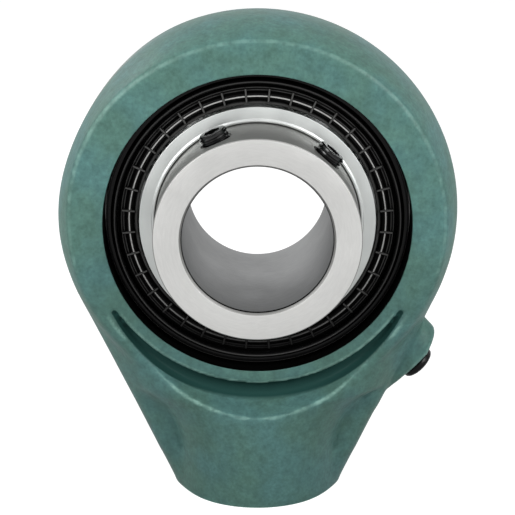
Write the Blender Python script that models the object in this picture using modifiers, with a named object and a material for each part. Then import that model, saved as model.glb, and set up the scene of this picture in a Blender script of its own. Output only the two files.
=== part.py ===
# Hanger bearing unit: a sealed ball bearing insert, locked to its shaft by two set screws,
# in a cast ring housing whose pipe-tapped boss hangs from, or stands on, a pipe.
#
# Metres, +Z up. The shaft axis lies along Y, the set-screw side faces -Y, and the boss
# stands on z = 0. A turned piece is a profile about the local Z axis of its parent, and for
# the insert that axis points out of the bearing, so a height is a distance from the ball plane.

import math

import bmesh
import bpy
from mathutils import Matrix, Vector

# Clearances.
MESH_GAP = 0.0003             # between pieces that bear on each other
BALL_GAP = 0.0003             # ball to raceway, and ball to cage pocket
SWIVEL_GAP = 0.0003           # outer ring to its spherical seat
RUNNING_GAP = 0.0004          # flinger to seal

# Inner ring.
BORE_RADIUS = 0.01905         # 1-1/2 inch shaft
INNER_RING_WALL = 0.00732
INNER_RING_TAIL = 0.0092      # back flinger to the end of the ring
INNER_RING_CHAMFER = 0.0008

# Balls.
BALL_COUNT = 9
BALL_RADIUS = 0.00635
RACE_DEPTH = 0.00272          # of both raceways, below their shoulders

# Outer ring, whose outside is a sphere centred on the ball plane.
RACE_LAND = 0.00115           # past a ball's side, to the floor of the seal seat
SEAL_SEAT_DEPTH = 0.0030
SEAL_SEAT_STEP = 0.00427      # from the shoulder beside the raceway out to the seat's wall
OUTER_RING_RIM = 0.0007       # wall left outside the seat, at the ring's end
GREASE_GROOVE_HALF_WIDTH = 0.0015
GREASE_GROOVE_DEPTH = 0.0006

# Cage of two pressed halves, riveted together between the balls.
CAGE_SHEET = 0.0009
CAGE_CLEARANCE = 0.00103      # to the shoulders of both rings
RIVET_RADIUS = 0.0008
RIVET_HEAD_OVERHANG = 0.0007
RIVET_HEAD_HEIGHT = 0.0006

# Shroud, rubber seal and flinger, alike on both sides.
SHROUD_WALL = 0.0012
SHROUD_PROUD = 0.00125        # past the outer ring's end
SEAL_RECESS = 0.0018          # outer ring's end to the seal's inner face
SEAL_THICKNESS = 0.0012
SEAL_LIP = 0.0022             # seal's inner edge to the middle of its bead
SEAL_BEAD_HALF_WIDTH = 0.0015
SEAL_BEAD_HEIGHT = 0.00117
SEAL_RIM = 0.0007             # outer end of a rib to the seal's outer edge
SEAL_RIB_HEIGHT = 0.00038     # above the bead
SEAL_RIB_COUNT = 36
SEAL_RIB_HALF_ANGLE = math.radians(0.8)
FLINGER_SHEET = 0.0010
FLINGER_FLANGE = 0.00423      # inner ring to the flinger's edge
FLINGER_PROUD = 0.0015        # past the outer ring's end
FLINGER_SLEEVE = 0.0028       # length of its sleeve on the inner ring

# Set screws, 5/16 inch, backed off so that the bore is clear.
SCREW_RADIUS = 0.00397
SCREW_LENGTH = 0.0095
SCREW_FROM_END = 0.0080       # screw axis to the inner ring's end
SCREW_FROM_FLINGER = 0.0080   # screw axis to the front flinger's face
SCREW_OFF_BORE = 0.0005       # cup point to the bore
SCREW_CUP_RADIUS = 0.0022
SCREW_CUP_DEPTH = 0.0008
SCREW_CHAMFER = 0.0006
SOCKET_FLATS = 0.0040
SOCKET_DEPTH = 0.0040
SCREW_ANGLES = (-23.5, 41.5)  # degrees from the top, towards +X

# Ring of the housing, with a lip round its bore and a crowned outside.
SEAT_HOLD = 0.0009            # bore's edge inside the widest part of the spherical seat
COLLAR_WALL = 0.0040          # bore to the outside of the lip
RING_FACE_WIDTH = 0.0091      # bore to where the flat face ends
RING_CROWN = 0.0042           # from there out to the crown
RING_OVERHANG = 0.0055        # outer ring's end to the housing's face
RING_BORE_CHAMFER = 0.0006
SWIVEL_ANGLE = 2.0            # degrees either way

# Boss, neck and webs of the housing.
NECK_LENGTH = 0.0235          # boss face to the ring's crown, for a 3 inch centre height
BOSS_WALL = 0.0102            # pipe hole to the outside of the boss
BOSS_EDGE = 0.0015
FLARE_HEIGHT = 0.0142         # boss face to where the neck starts to widen
FLARE_RADIUS = 0.0210
FLARE_ANGLE = 78.0            # degrees of arc
NECK_TOP = 0.0120             # below the shaft axis, hidden in the ring
NECK_CLEARANCE = 0.0010       # beyond the lip round the bore
NECK_INSET = 0.0037           # inside the ring's crown, at the neck's widest level
NECK_SQUARENESS = 2.6         # exponent of the neck's section there; 2 is an ellipse
WEB_INDENT = 0.0070           # from the ring's face back to the web's side
WEB_EDGE = 0.0050
WEB_HOLLOW = 0.0009           # how far its sides curve in
WEB_FOOT = 0.0020             # boss face to its lower end
WEB_INSET = 0.0003            # below the ring's crown where its sides leave the ring

# Relief between the lip round the bore and the top of the neck.
RELIEF_DROP = 0.0070          # its axis below the shaft axis
RELIEF_DEPTH = 0.0030         # below the ring's face
RELIEF_FLOOR = 0.0041         # width of its floor under the lip
RELIEF_SLOPE = 0.39           # radius gained for each unit of height

# Pipe socket for a 3/4 inch taper thread, drawn at its tapping size.
PIPE_HOLE_RADIUS = 0.0123
PIPE_HOLE_FLOOR = 0.0069      # iron between its drill point and the ring's bore
PIPE_HOLE_TAPER = 0.03125
PIPE_HOLE_CHAMFER = 0.0013
DRILL_POINT_SLOPE = 0.60

# Grease boss and its push-in plug, lower right.
GREASE_ANGLE = 135.0          # degrees from the top, towards +X
GREASE_BOSS_RADIUS = 0.0095
GREASE_BOSS_DRAFT = 0.0013    # wider at its root
GREASE_BOSS_PROUD = 0.0076    # beyond the ring's crown
GREASE_BOSS_SUNK = 0.0077     # its root inside the crown
GREASE_BOSS_EDGE = 0.0022
GREASE_BOSS_NARROWING = 0.62   # along the shaft, where the ring is only so wide
PLUG_STEM_RADIUS = 0.0026
PLUG_STEM_LENGTH = 0.0055
PLUG_HEAD_RADIUS = 0.00475
PLUG_HEAD_HEIGHT = 0.0036
PLUG_RIM_HEIGHT = 0.0016
PLUG_TIP_CHAMFER = 0.0008
GREASE_HOLE_STEP = 0.0011     # plug's hole to the narrower hole below it

# Pin in the outer ring that keeps it from turning, at the top.
PIN_RADIUS = 0.0015
PIN_SUNK = 0.0017             # inside the outer ring
PIN_PROUD = 0.0023            # beyond it
PIN_CHAMFER = 0.0003

# Notches at the back that let the insert in edgewise.
NOTCH_CLEARANCE = 0.0006

# Facets, and the size at which an axis is displayed.
HOUSING_STEPS = 48
INSERT_STEPS = 40
SMALL_STEPS = 16
RIVET_STEPS = 6
NECK_POINTS = 36
AXIS_DISPLAY_SIZE = 0.01

# Insert, from the bore outwards.
INNER_RING_RADIUS = BORE_RADIUS + INNER_RING_WALL
PITCH_RADIUS = INNER_RING_RADIUS - RACE_DEPTH + BALL_RADIUS
RACE_RADIUS = BALL_RADIUS + BALL_GAP
SHOULDER_RADIUS = PITCH_RADIUS + BALL_RADIUS - RACE_DEPTH
CAGE_HALF_WIDTH = (SHOULDER_RADIUS - INNER_RING_RADIUS) / 2 - CAGE_CLEARANCE
SEAL_SEAT_RADIUS = SHOULDER_RADIUS + SEAL_SEAT_STEP
FLINGER_RADIUS = INNER_RING_RADIUS + FLINGER_FLANGE
SEAL_INNER_RADIUS = FLINGER_RADIUS + RUNNING_GAP
SEAL_BEAD_RADIUS = SEAL_INNER_RADIUS + SEAL_LIP

# Insert, from the ball plane outwards.
OUTER_RING_HALF_WIDTH = BALL_RADIUS + RACE_LAND + SEAL_SEAT_DEPTH
SPHERE_RADIUS = math.hypot(SEAL_SEAT_RADIUS + OUTER_RING_RIM, OUTER_RING_HALF_WIDTH)
SHROUD_CREST = OUTER_RING_HALF_WIDTH + SHROUD_PROUD
SEAL_BACK = OUTER_RING_HALF_WIDTH - SEAL_RECESS
SEAL_BEAD_CREST = SEAL_BACK + SEAL_THICKNESS + SEAL_BEAD_HEIGHT
SEAL_RIB_CREST = SEAL_BEAD_CREST + SEAL_RIB_HEIGHT
FLINGER_FACE = OUTER_RING_HALF_WIDTH + FLINGER_PROUD
INNER_RING_AHEAD = FLINGER_FACE + SCREW_FROM_FLINGER + SCREW_FROM_END
INNER_RING_BEHIND = FLINGER_FACE + INNER_RING_TAIL
PIN_INNER_END = SPHERE_RADIUS - PIN_SUNK
PIN_OUTER_END = SPHERE_RADIUS + PIN_PROUD

# Housing, round the insert.
SEAT_RADIUS = SPHERE_RADIUS + SWIVEL_GAP
RING_BORE_RADIUS = SEAT_RADIUS - SEAT_HOLD
COLLAR_RADIUS = RING_BORE_RADIUS + COLLAR_WALL
RING_FACE_RADIUS = RING_BORE_RADIUS + RING_FACE_WIDTH
RING_RADIUS = RING_FACE_RADIUS + RING_CROWN
RING_HALF_WIDTH = OUTER_RING_HALF_WIDTH + RING_OVERHANG
RELIEF_RADIUS = COLLAR_RADIUS - RELIEF_DROP + RELIEF_FLOOR
WEB_HALF_THICKNESS = RING_HALF_WIDTH - WEB_INDENT
CENTRE_HEIGHT = NECK_LENGTH + RING_RADIUS
BOSS_RADIUS = PIPE_HOLE_RADIUS + BOSS_WALL
GREASE_BOSS_FACE = RING_RADIUS + GREASE_BOSS_PROUD
GREASE_BOSS_ROOT = RING_RADIUS - GREASE_BOSS_SUNK
MID_Y = (INNER_RING_AHEAD - BOSS_RADIUS) / 2     # centres the unit on y = 0

OUTWARDS_FRONT = Matrix.Rotation(math.radians(90.0), 4, "X")
OUTWARDS_BACK = Matrix.Rotation(math.radians(-90.0), 4, "X")

for leftover in list(bpy.data.objects):
    bpy.data.objects.remove(leftover, do_unlink=True)

parts = bpy.data.collections.new("hanger_bearing_unit")
guides = bpy.data.collections.new("cutters_and_guides")
bpy.context.scene.collection.children.link(parts)
bpy.context.scene.collection.children.link(guides)


def make_material(name, colour, roughness, metallic):
    material = bpy.data.materials.new(name)
    material.use_nodes = True
    shader = material.node_tree.nodes["Principled BSDF"]
    shader.inputs["Base Color"].default_value = (*colour, 1.0)
    shader.inputs["Roughness"].default_value = roughness
    shader.inputs["Metallic"].default_value = metallic
    return material


PAINT = make_material("painted_cast_iron", (0.10, 0.22, 0.19), 0.40, 0.0)
RING_STEEL = make_material("ground_ring_steel", (0.62, 0.62, 0.61), 0.28, 1.0)
OUTER_STEEL = make_material("blued_ring_steel", (0.05, 0.05, 0.05), 0.35, 1.0)
BALL_STEEL = make_material("polished_ball_steel", (0.72, 0.72, 0.72), 0.10, 1.0)
PRESSED_STEEL = make_material("pressed_steel", (0.55, 0.55, 0.54), 0.35, 1.0)
BLACK_STEEL = make_material("black_oxide_steel", (0.02, 0.02, 0.022), 0.35, 0.6)
RUBBER = make_material("seal_rubber", (0.012, 0.012, 0.012), 0.30, 0.0)
PLASTIC = make_material("plug_plastic", (0.015, 0.015, 0.016), 0.35, 0.0)


def frame(name, parent=None, place=(0.0, 0.0, 0.0), turn=Matrix.Identity(4)):
    """An empty on an axis, for pieces to hang from."""
    holder = bpy.data.objects.new(name, None)
    parts.objects.link(holder)
    holder.empty_display_size = AXIS_DISPLAY_SIZE
    holder.parent = parent
    holder.matrix_local = Matrix.Translation(place) @ turn
    return holder


def add_piece(name, mesh, parent, material=None):
    """A part where a material is given, and otherwise a cutter or a guide."""
    piece = bpy.data.objects.new(name, mesh)
    piece.parent = parent
    if material:
        parts.objects.link(piece)
        if not mesh.materials:
            mesh.materials.append(material)
    else:
        guides.objects.link(piece)
        piece.hide_render = True
        piece.display_type = "WIRE"
    return piece


def turned(name, profile, parent, material=None, steps=INSERT_STEPS):
    """Turns (radius, height) points, which run down the outer side, about the local Z axis."""
    meets_axis = profile[0][0] == 0.0
    edges = [(i, i + 1) for i in range(len(profile) - 1)]
    if not meets_axis:
        edges.append((len(profile) - 1, 0))
    mesh = bpy.data.meshes.new(name)
    mesh.from_pydata([(radius, 0.0, height) for radius, height in profile], edges, [])
    piece = add_piece(name, mesh, parent, material)
    screw = piece.modifiers.new("turn", "SCREW")
    screw.steps = steps
    screw.render_steps = steps
    screw.use_merge_vertices = meets_axis
    screw.merge_threshold = 0.00001
    return piece


def rod(radius, top, bottom):
    """Profile of a plain round cutter."""
    return [(0.0, top), (radius, top), (radius, bottom), (0.0, bottom)]


def meshed(name, build, parent, material=None):
    """An object whose mesh is made by a function that fills a bmesh."""
    form = bmesh.new()
    build(form)
    bmesh.ops.recalc_face_normals(form, faces=form.faces)
    mesh = bpy.data.meshes.new(name)
    form.to_mesh(mesh)
    form.free()
    return add_piece(name, mesh, parent, material)


def block(name, low, high, parent):
    """A box cutter between two corners."""
    low, high = Vector(low), Vector(high)

    def build(form):
        bmesh.ops.create_cube(form, size=1.0)
        bmesh.ops.scale(form, vec=high - low, verts=form.verts)
        bmesh.ops.translate(form, vec=(low + high) / 2, verts=form.verts)

    return meshed(name, build, parent)


def loft(form, sections, closes_on_itself):
    """Joins sections of equally many points with faces, and caps the two ends of an open row."""
    rows = [[form.verts.new(point) for point in section] for section in sections]
    pairs = list(zip(rows, rows[1:]))
    if closes_on_itself:
        pairs.append((rows[-1], rows[0]))
    else:
        form.faces.new(rows[0])
        form.faces.new(rows[-1])
    for near, far in pairs:
        for i in range(len(near)):
            j = (i + 1) % len(near)
            form.faces.new((near[i], near[j], far[j], far[i]))


def combine(piece, operation, *others):
    """Adds or cuts away other solids."""
    for other in others:
        step = piece.modifiers.new(other.name, "BOOLEAN")
        step.operation = operation
        step.solver = "EXACT"
        step.object = other


def arc(centre_radius, centre_height, radius, start, end, count):
    """Profile points on a circle. Angles are in radians, from outwards towards up."""
    points = []
    for i in range(count + 1):
        angle = start + (end - start) * i / count
        points.append((centre_radius + radius * math.cos(angle), centre_height + radius * math.sin(angle)))
    return points


def upside_down(profile):
    """The same stretch of profile below the ball plane."""
    return [(radius, -height) for radius, height in reversed(profile)]


def around(radius, angle, height=0.0):
    """A point at an angle from the top, towards +X, in a frame that faces forwards."""
    return Vector((radius * math.sin(angle), radius * math.cos(angle), height))


def tangent_foot():
    """Where a side of the housing leaves the ring, where it meets the boss, and its lean."""
    foot = Vector((BOSS_RADIUS, -CENTRE_HEIGHT))
    radius = RING_RADIUS - WEB_INSET
    angle = math.atan2(foot.x, -foot.y) + math.acos(radius / foot.length)
    shoulder = radius * Vector((math.sin(angle), -math.cos(angle)))
    lean = (shoulder.x - foot.x) / (shoulder.y - foot.y)
    return shoulder, foot, lean


def ring_blank_profile():
    drop = RING_RADIUS - RING_FACE_RADIUS
    crown = (RING_HALF_WIDTH ** 2 + drop ** 2) / (2 * drop)
    reach = math.asin(RING_HALF_WIDTH / crown)
    inside = RING_BORE_RADIUS - 2 * RING_BORE_CHAMFER
    outside = arc(RING_RADIUS - crown, 0.0, crown, reach, -reach, 8)
    return outside + [(inside, -RING_HALF_WIDTH), (inside, RING_HALF_WIDTH)]


def housing_bore_profile():
    reach = math.acos(RING_BORE_RADIUS / SEAT_RADIUS)
    top = RING_HALF_WIDTH + RING_BORE_CHAMFER
    mouth = [
        (0.0, top),
        (RING_BORE_RADIUS + 2 * RING_BORE_CHAMFER, top),
        (RING_BORE_RADIUS, RING_HALF_WIDTH - RING_BORE_CHAMFER),
    ]
    return mouth + arc(0.0, 0.0, SEAT_RADIUS, reach, -reach, 4) + upside_down(mouth)


def build_webs(form):
    """Both webs as one plate, tangent to the ring, hollow and rounded along its two sides."""
    shoulder, foot, lean = tangent_foot()
    along = foot - shoulder
    inwards = Vector((along.y, -along.x)).normalized()
    end = 1.0 - WEB_FOOT / abs(along.y)
    count = 6
    side = []
    for i in range(count + 1):
        t = end * i / count
        side.append(shoulder + t * along + 4 * t * (1 - t) * WEB_HOLLOW * inwards)
    outline = [Vector((0.0, 0.0))] + side + [Vector((-p.x, p.y)) for p in reversed(side)]
    near = form.faces.new([form.verts.new((p.x, -WEB_HALF_THICKNESS, p.y)) for p in outline])
    grown = bmesh.ops.extrude_face_region(form, geom=[near])
    far = [item for item in grown["geom"] if isinstance(item, bmesh.types.BMVert)]
    bmesh.ops.translate(form, vec=(0.0, 2 * WEB_HALF_THICKNESS, 0.0), verts=far)
    rims = [
        edge for edge in form.edges
        if edge.verts[0].co.y == edge.verts[1].co.y and edge.verts[0].co.x * edge.verts[1].co.x > 0
    ]
    bmesh.ops.bevel(form, geom=rims, offset=WEB_EDGE, segments=3, profile=0.5, affect="EDGES")


def neck_levels():
    """(height above the boss face, half-width, half-depth) of the neck, from the foot up."""
    shoulder, foot, lean = tangent_foot()
    levels = [
        (0.0, BOSS_RADIUS - BOSS_EDGE, BOSS_RADIUS - BOSS_EDGE),
        (BOSS_EDGE, BOSS_RADIUS, BOSS_RADIUS),
    ]
    flare_steps = 6
    for i in range(flare_steps + 1):
        angle = math.radians(FLARE_ANGLE) * i / flare_steps
        height = FLARE_HEIGHT + FLARE_RADIUS * math.sin(angle)
        width = BOSS_RADIUS + FLARE_RADIUS * (1 - math.cos(angle))
        levels.append((height, min(width, BOSS_RADIUS + lean * height), BOSS_RADIUS))
    flare_top = levels[-1][0]
    top = CENTRE_HEIGHT - NECK_TOP
    upper_steps = 3
    for i in range(1, upper_steps + 1):
        height = flare_top + (top - flare_top) * i / upper_steps
        width = min(BOSS_RADIUS + lean * height, RING_RADIUS - NECK_INSET)
        levels.append((height, width, BOSS_RADIUS))
    return levels


def build_neck(form):
    """Level sections that change from the round boss to a squarer, wider oval at the ring."""
    levels = neck_levels()
    widest = max(width for height, width, depth in levels)
    sections = []
    for height, width, depth in levels:
        widening = max(0.0, width - BOSS_RADIUS) / (widest - BOSS_RADIUS)
        power = 2 / (2 + (NECK_SQUARENESS - 2) * widening)
        section = []
        for k in range(NECK_POINTS):
            c = math.cos(math.tau * k / NECK_POINTS)
            s = math.sin(math.tau * k / NECK_POINTS)
            x = math.copysign(width * abs(c) ** power, c)
            y = math.copysign(depth * abs(s) ** power, s)
            section.append((x, y, height - CENTRE_HEIGHT))
        sections.append(section)
    loft(form, sections, False)


def relief(name, turn):
    """Sloping cut, off centre, that stops at the lip round the bore."""
    axis = frame(f"{name}_axis", centre, (0.0, 0.0, -RELIEF_DROP), turn)
    shaft = frame(f"{name}_lip_axis", centre, turn=turn)
    floor = RING_HALF_WIDTH - RELIEF_DEPTH
    top = BOSS_RADIUS + RELIEF_DEPTH
    radius = RELIEF_RADIUS + RELIEF_SLOPE * (top - floor)
    profile = [(0.0, top), (radius, top), (RELIEF_RADIUS, floor), (0.0, floor)]
    cutter = turned(name, profile, axis, steps=HOUSING_STEPS)
    lip = turned(f"{name}_lip", rod(COLLAR_RADIUS, top + RELIEF_DEPTH, 0.0), shaft, steps=HOUSING_STEPS)
    combine(cutter, "DIFFERENCE", lip)
    return cutter


def make_housing():
    housing = turned("housing", ring_blank_profile(), insert_front, PAINT, HOUSING_STEPS)

    webs = meshed("webs", build_webs, centre)
    neck = meshed("neck", build_neck, centre)
    opening = rod(COLLAR_RADIUS + NECK_CLEARANCE, 2 * BOSS_RADIUS, -2 * BOSS_RADIUS)
    way_through = turned("neck_opening", opening, insert_front, steps=HOUSING_STEPS)
    combine(neck, "DIFFERENCE", way_through)

    face, rim = GREASE_BOSS_FACE, GREASE_BOSS_RADIUS - GREASE_BOSS_EDGE
    rounding = arc(rim, face - GREASE_BOSS_EDGE, GREASE_BOSS_EDGE, math.radians(90.0), 0.0, 3)
    root = [(GREASE_BOSS_RADIUS + GREASE_BOSS_DRAFT, GREASE_BOSS_ROOT), (0.0, GREASE_BOSS_ROOT)]
    grease_boss = turned("grease_boss", [(0.0, face)] + rounding + root, grease_axis, steps=24)
    grease_boss.scale.y = GREASE_BOSS_NARROWING
    combine(housing, "UNION", webs, neck, grease_boss)

    front_relief = relief("front_relief", OUTWARDS_FRONT)
    back_relief = relief("back_relief", OUTWARDS_BACK)
    bore = turned("housing_bore", housing_bore_profile(), insert_front, steps=HOUSING_STEPS)
    combine(housing, "DIFFERENCE", front_relief, back_relief, bore)

    mouth = PIPE_HOLE_RADIUS + PIPE_HOLE_CHAMFER
    point = CENTRE_HEIGHT - SEAT_RADIUS - PIPE_HOLE_FLOOR
    depth = (point - DRILL_POINT_SLOPE * PIPE_HOLE_RADIUS) / (1 - DRILL_POINT_SLOPE * PIPE_HOLE_TAPER)
    socket = turned("pipe_socket", [
        (0.0, point),
        (PIPE_HOLE_RADIUS - PIPE_HOLE_TAPER * depth, depth),
        (PIPE_HOLE_RADIUS, PIPE_HOLE_CHAMFER),
        (mouth + PIPE_HOLE_CHAMFER, -PIPE_HOLE_CHAMFER),
        (0.0, -PIPE_HOLE_CHAMFER),
    ], boss_axis, steps=32)

    plug_hole = PLUG_STEM_RADIUS + MESH_GAP
    narrow_hole = plug_hole - GREASE_HOLE_STEP
    plug_hole_end = GREASE_BOSS_FACE - PLUG_STEM_LENGTH - 3 * MESH_GAP
    grease_hole = turned("grease_hole", [
        (0.0, GREASE_BOSS_FACE + GREASE_BOSS_EDGE),
        (plug_hole, GREASE_BOSS_FACE + GREASE_BOSS_EDGE),
        (plug_hole, plug_hole_end),
        (narrow_hole, plug_hole_end - MESH_GAP),
        (narrow_hole, RING_BORE_RADIUS - GREASE_BOSS_EDGE),
        (0.0, RING_BORE_RADIUS - GREASE_BOSS_EDGE),
    ], grease_axis, steps=SMALL_STEPS)

    side = PIN_RADIUS + MESH_GAP
    travel = side + MESH_GAP + PIN_OUTER_END * math.sin(math.radians(SWIVEL_ANGLE))
    pin_slot = block(
        "pin_slot",
        (-side, -travel, PIN_INNER_END),
        (side, travel, PIN_OUTER_END + 2 * MESH_GAP),
        centre,
    )
    notch_half = OUTER_RING_HALF_WIDTH + NOTCH_CLEARANCE
    notch_reach = SEAT_RADIUS + MESH_GAP
    notches = block(
        "loading_notches",
        (-notch_reach, 0.0, -notch_half),
        (notch_reach, RING_HALF_WIDTH + RELIEF_DEPTH, notch_half),
        centre,
    )
    combine(housing, "DIFFERENCE", socket, grease_hole, pin_slot, notches)
    return housing


def make_outer_ring():
    reach = math.asin(OUTER_RING_HALF_WIDTH / SPHERE_RADIUS)
    groove_edge = math.asin(GREASE_GROOVE_HALF_WIDTH / SPHERE_RADIUS)
    groove_floor = SPHERE_RADIUS - GREASE_GROOVE_DEPTH
    outside = arc(0.0, 0.0, SPHERE_RADIUS, reach, groove_edge, 3)
    outside.append((groove_floor, GREASE_GROOVE_HALF_WIDTH))
    race = math.acos((SHOULDER_RADIUS - PITCH_RADIUS) / RACE_RADIUS)
    seat_floor = OUTER_RING_HALF_WIDTH - SEAL_SEAT_DEPTH
    seal_seat = [
        (SHOULDER_RADIUS, seat_floor),
        (SEAL_SEAT_RADIUS, seat_floor),
        (SEAL_SEAT_RADIUS, OUTER_RING_HALF_WIDTH),
    ]
    raceway = arc(PITCH_RADIUS, 0.0, RACE_RADIUS, -race, race, 8)
    profile = outside + upside_down(outside) + upside_down(seal_seat) + raceway + seal_seat
    ring = turned("outer_ring", profile, insert_front, OUTER_STEEL)
    hole = turned(
        "pin_hole",
        rod(PIN_RADIUS + MESH_GAP, PIN_OUTER_END, PIN_INNER_END - MESH_GAP),
        centre,
        steps=SMALL_STEPS,
    )
    combine(ring, "DIFFERENCE", hole)
    return ring


def make_anti_rotation_pin():
    shoulder = PIN_RADIUS - PIN_CHAMFER
    profile = [
        (0.0, PIN_OUTER_END),
        (shoulder, PIN_OUTER_END),
        (PIN_RADIUS, PIN_OUTER_END - PIN_CHAMFER),
        (PIN_RADIUS, PIN_INNER_END),
        (0.0, PIN_INNER_END),
    ]
    return turned("anti_rotation_pin", profile, centre, BLACK_STEEL, steps=12)


def screw_frame(angle):
    """A frame at the screws' distance along the shaft, whose Z axis points out along one screw."""
    place = (0.0, SCREW_FROM_END - INNER_RING_AHEAD, 0.0)
    return place, Matrix.Rotation(math.radians(angle), 4, "Y")


def make_inner_ring():
    race = math.acos((INNER_RING_RADIUS - PITCH_RADIUS) / RACE_RADIUS)
    chamfer = INNER_RING_CHAMFER
    profile = [
        (INNER_RING_RADIUS - chamfer, INNER_RING_AHEAD),
        (INNER_RING_RADIUS, INNER_RING_AHEAD - chamfer),
    ]
    profile += arc(PITCH_RADIUS, 0.0, RACE_RADIUS, race, math.tau - race, 8)
    profile += [
        (INNER_RING_RADIUS, chamfer - INNER_RING_BEHIND),
        (INNER_RING_RADIUS - chamfer, -INNER_RING_BEHIND),
        (BORE_RADIUS + chamfer, -INNER_RING_BEHIND),
        (BORE_RADIUS, chamfer - INNER_RING_BEHIND),
        (BORE_RADIUS, INNER_RING_AHEAD - chamfer),
        (BORE_RADIUS + chamfer, INNER_RING_AHEAD),
    ]
    ring = turned("inner_ring", profile, inner_front, RING_STEEL)
    for number, angle in enumerate(SCREW_ANGLES, 1):
        place, turn = screw_frame(angle)
        axis = frame(f"screw_hole_{number}_axis", centre, place, turn)
        hole_profile = rod(SCREW_RADIUS + MESH_GAP, 2 * INNER_RING_RADIUS - BORE_RADIUS, BORE_RADIUS / 2)
        combine(ring, "DIFFERENCE", turned(f"screw_hole_{number}", hole_profile, axis, steps=SMALL_STEPS))
    return ring


def make_set_screw(number, angle):
    place, turn = screw_frame(angle)
    travel = frame(f"set_screw_{number}_travel", inner_spin, place, turn)
    point = BORE_RADIUS + SCREW_OFF_BORE
    top = point + SCREW_LENGTH
    profile = [
        (0.0, top),
        (SCREW_RADIUS - SCREW_CHAMFER, top),
        (SCREW_RADIUS, top - SCREW_CHAMFER),
        (SCREW_RADIUS, point + 2 * SCREW_CHAMFER),
        (SCREW_CUP_RADIUS, point),
        (0.0, point + SCREW_CUP_DEPTH),
    ]
    screw = turned(f"set_screw_{number}", profile, travel, BLACK_STEEL, steps=SMALL_STEPS)
    corners = SOCKET_FLATS / (2 * math.cos(math.radians(30.0)))
    key = turned(f"socket_{number}", rod(corners, top + SOCKET_DEPTH, top - SOCKET_DEPTH), travel, steps=6)
    combine(screw, "DIFFERENCE", key)
    return screw


def build_ball(form):
    bmesh.ops.create_uvsphere(form, u_segments=12, v_segments=8, radius=BALL_RADIUS)


def make_balls():
    mesh = None
    for number in range(1, BALL_COUNT + 1):
        place = around(PITCH_RADIUS, math.tau * (number - 1) / BALL_COUNT)
        axis = frame(f"ball_{number}_spin", cage_orbit, place)
        if mesh:
            add_piece(f"ball_{number}", mesh, axis, BALL_STEEL)
        else:
            mesh = meshed(f"ball_{number}", build_ball, axis, BALL_STEEL).data


def build_cage_half(form):
    """A ribbon that runs flat between the balls and arches over each of them."""
    pocket = BALL_RADIUS + BALL_GAP
    outside = pocket + CAGE_SHEET
    flat = MESH_GAP / 2
    reaches = [pocket * math.sin(math.radians(angle)) for angle in (15.0, 40.0, 65.0)]
    reaches += [pocket, outside]
    across = [-reach for reach in reversed(reaches)] + reaches
    pitch = math.tau / BALL_COUNT
    sections = []
    for ball in range(BALL_COUNT):
        for reach in across:
            angle = ball * pitch + reach / PITCH_RADIUS
            low = max(flat, math.sqrt(max(0.0, pocket ** 2 - reach ** 2)))
            high = max(flat + CAGE_SHEET, math.sqrt(max(0.0, outside ** 2 - reach ** 2)))
            inner, outer = PITCH_RADIUS - CAGE_HALF_WIDTH, PITCH_RADIUS + CAGE_HALF_WIDTH
            corners = ((inner, low), (outer, low), (outer, high), (inner, high))
            sections.append([around(radius, angle, height) for radius, height in corners])
    loft(form, sections, True)


def make_cage():
    front = meshed("front_cage_half", build_cage_half, cage_front, PRESSED_STEEL)
    back = add_piece("back_cage_half", front.data, cage_back, PRESSED_STEEL)
    seat = MESH_GAP + CAGE_SHEET
    for number in range(1, BALL_COUNT + 1):
        place = around(PITCH_RADIUS, math.tau * (number - 0.5) / BALL_COUNT)
        axis = frame(f"cage_rivet_{number}_axis", cage_front, place)
        end = [
            (0.0, seat + RIVET_HEAD_HEIGHT),
            (RIVET_RADIUS, seat + RIVET_HEAD_HEIGHT),
            (RIVET_RADIUS + RIVET_HEAD_OVERHANG, seat),
            (RIVET_RADIUS, seat),
        ]
        turned(f"cage_rivet_{number}", end + upside_down(end), axis, PRESSED_STEEL, steps=RIVET_STEPS)
        hole = turned(
            f"rivet_hole_{number}",
            rod(RIVET_RADIUS + MESH_GAP, 2 * seat, -2 * seat),
            axis,
            steps=RIVET_STEPS,
        )
        combine(front, "DIFFERENCE", hole)
        combine(back, "DIFFERENCE", hole)


def make_shroud(side, parent):
    outer = SEAL_SEAT_RADIUS - MESH_GAP
    inner = outer - SHROUD_WALL
    middle = (outer + inner) / 2
    foot = OUTER_RING_HALF_WIDTH - SEAL_SEAT_DEPTH + MESH_GAP
    rolled = arc(middle, SHROUD_CREST - SHROUD_WALL / 2, SHROUD_WALL / 2, math.pi, 0.0, 3)
    turned(f"{side}_shroud", rolled + [(outer, foot), (inner, foot)], parent, BLACK_STEEL)


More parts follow.
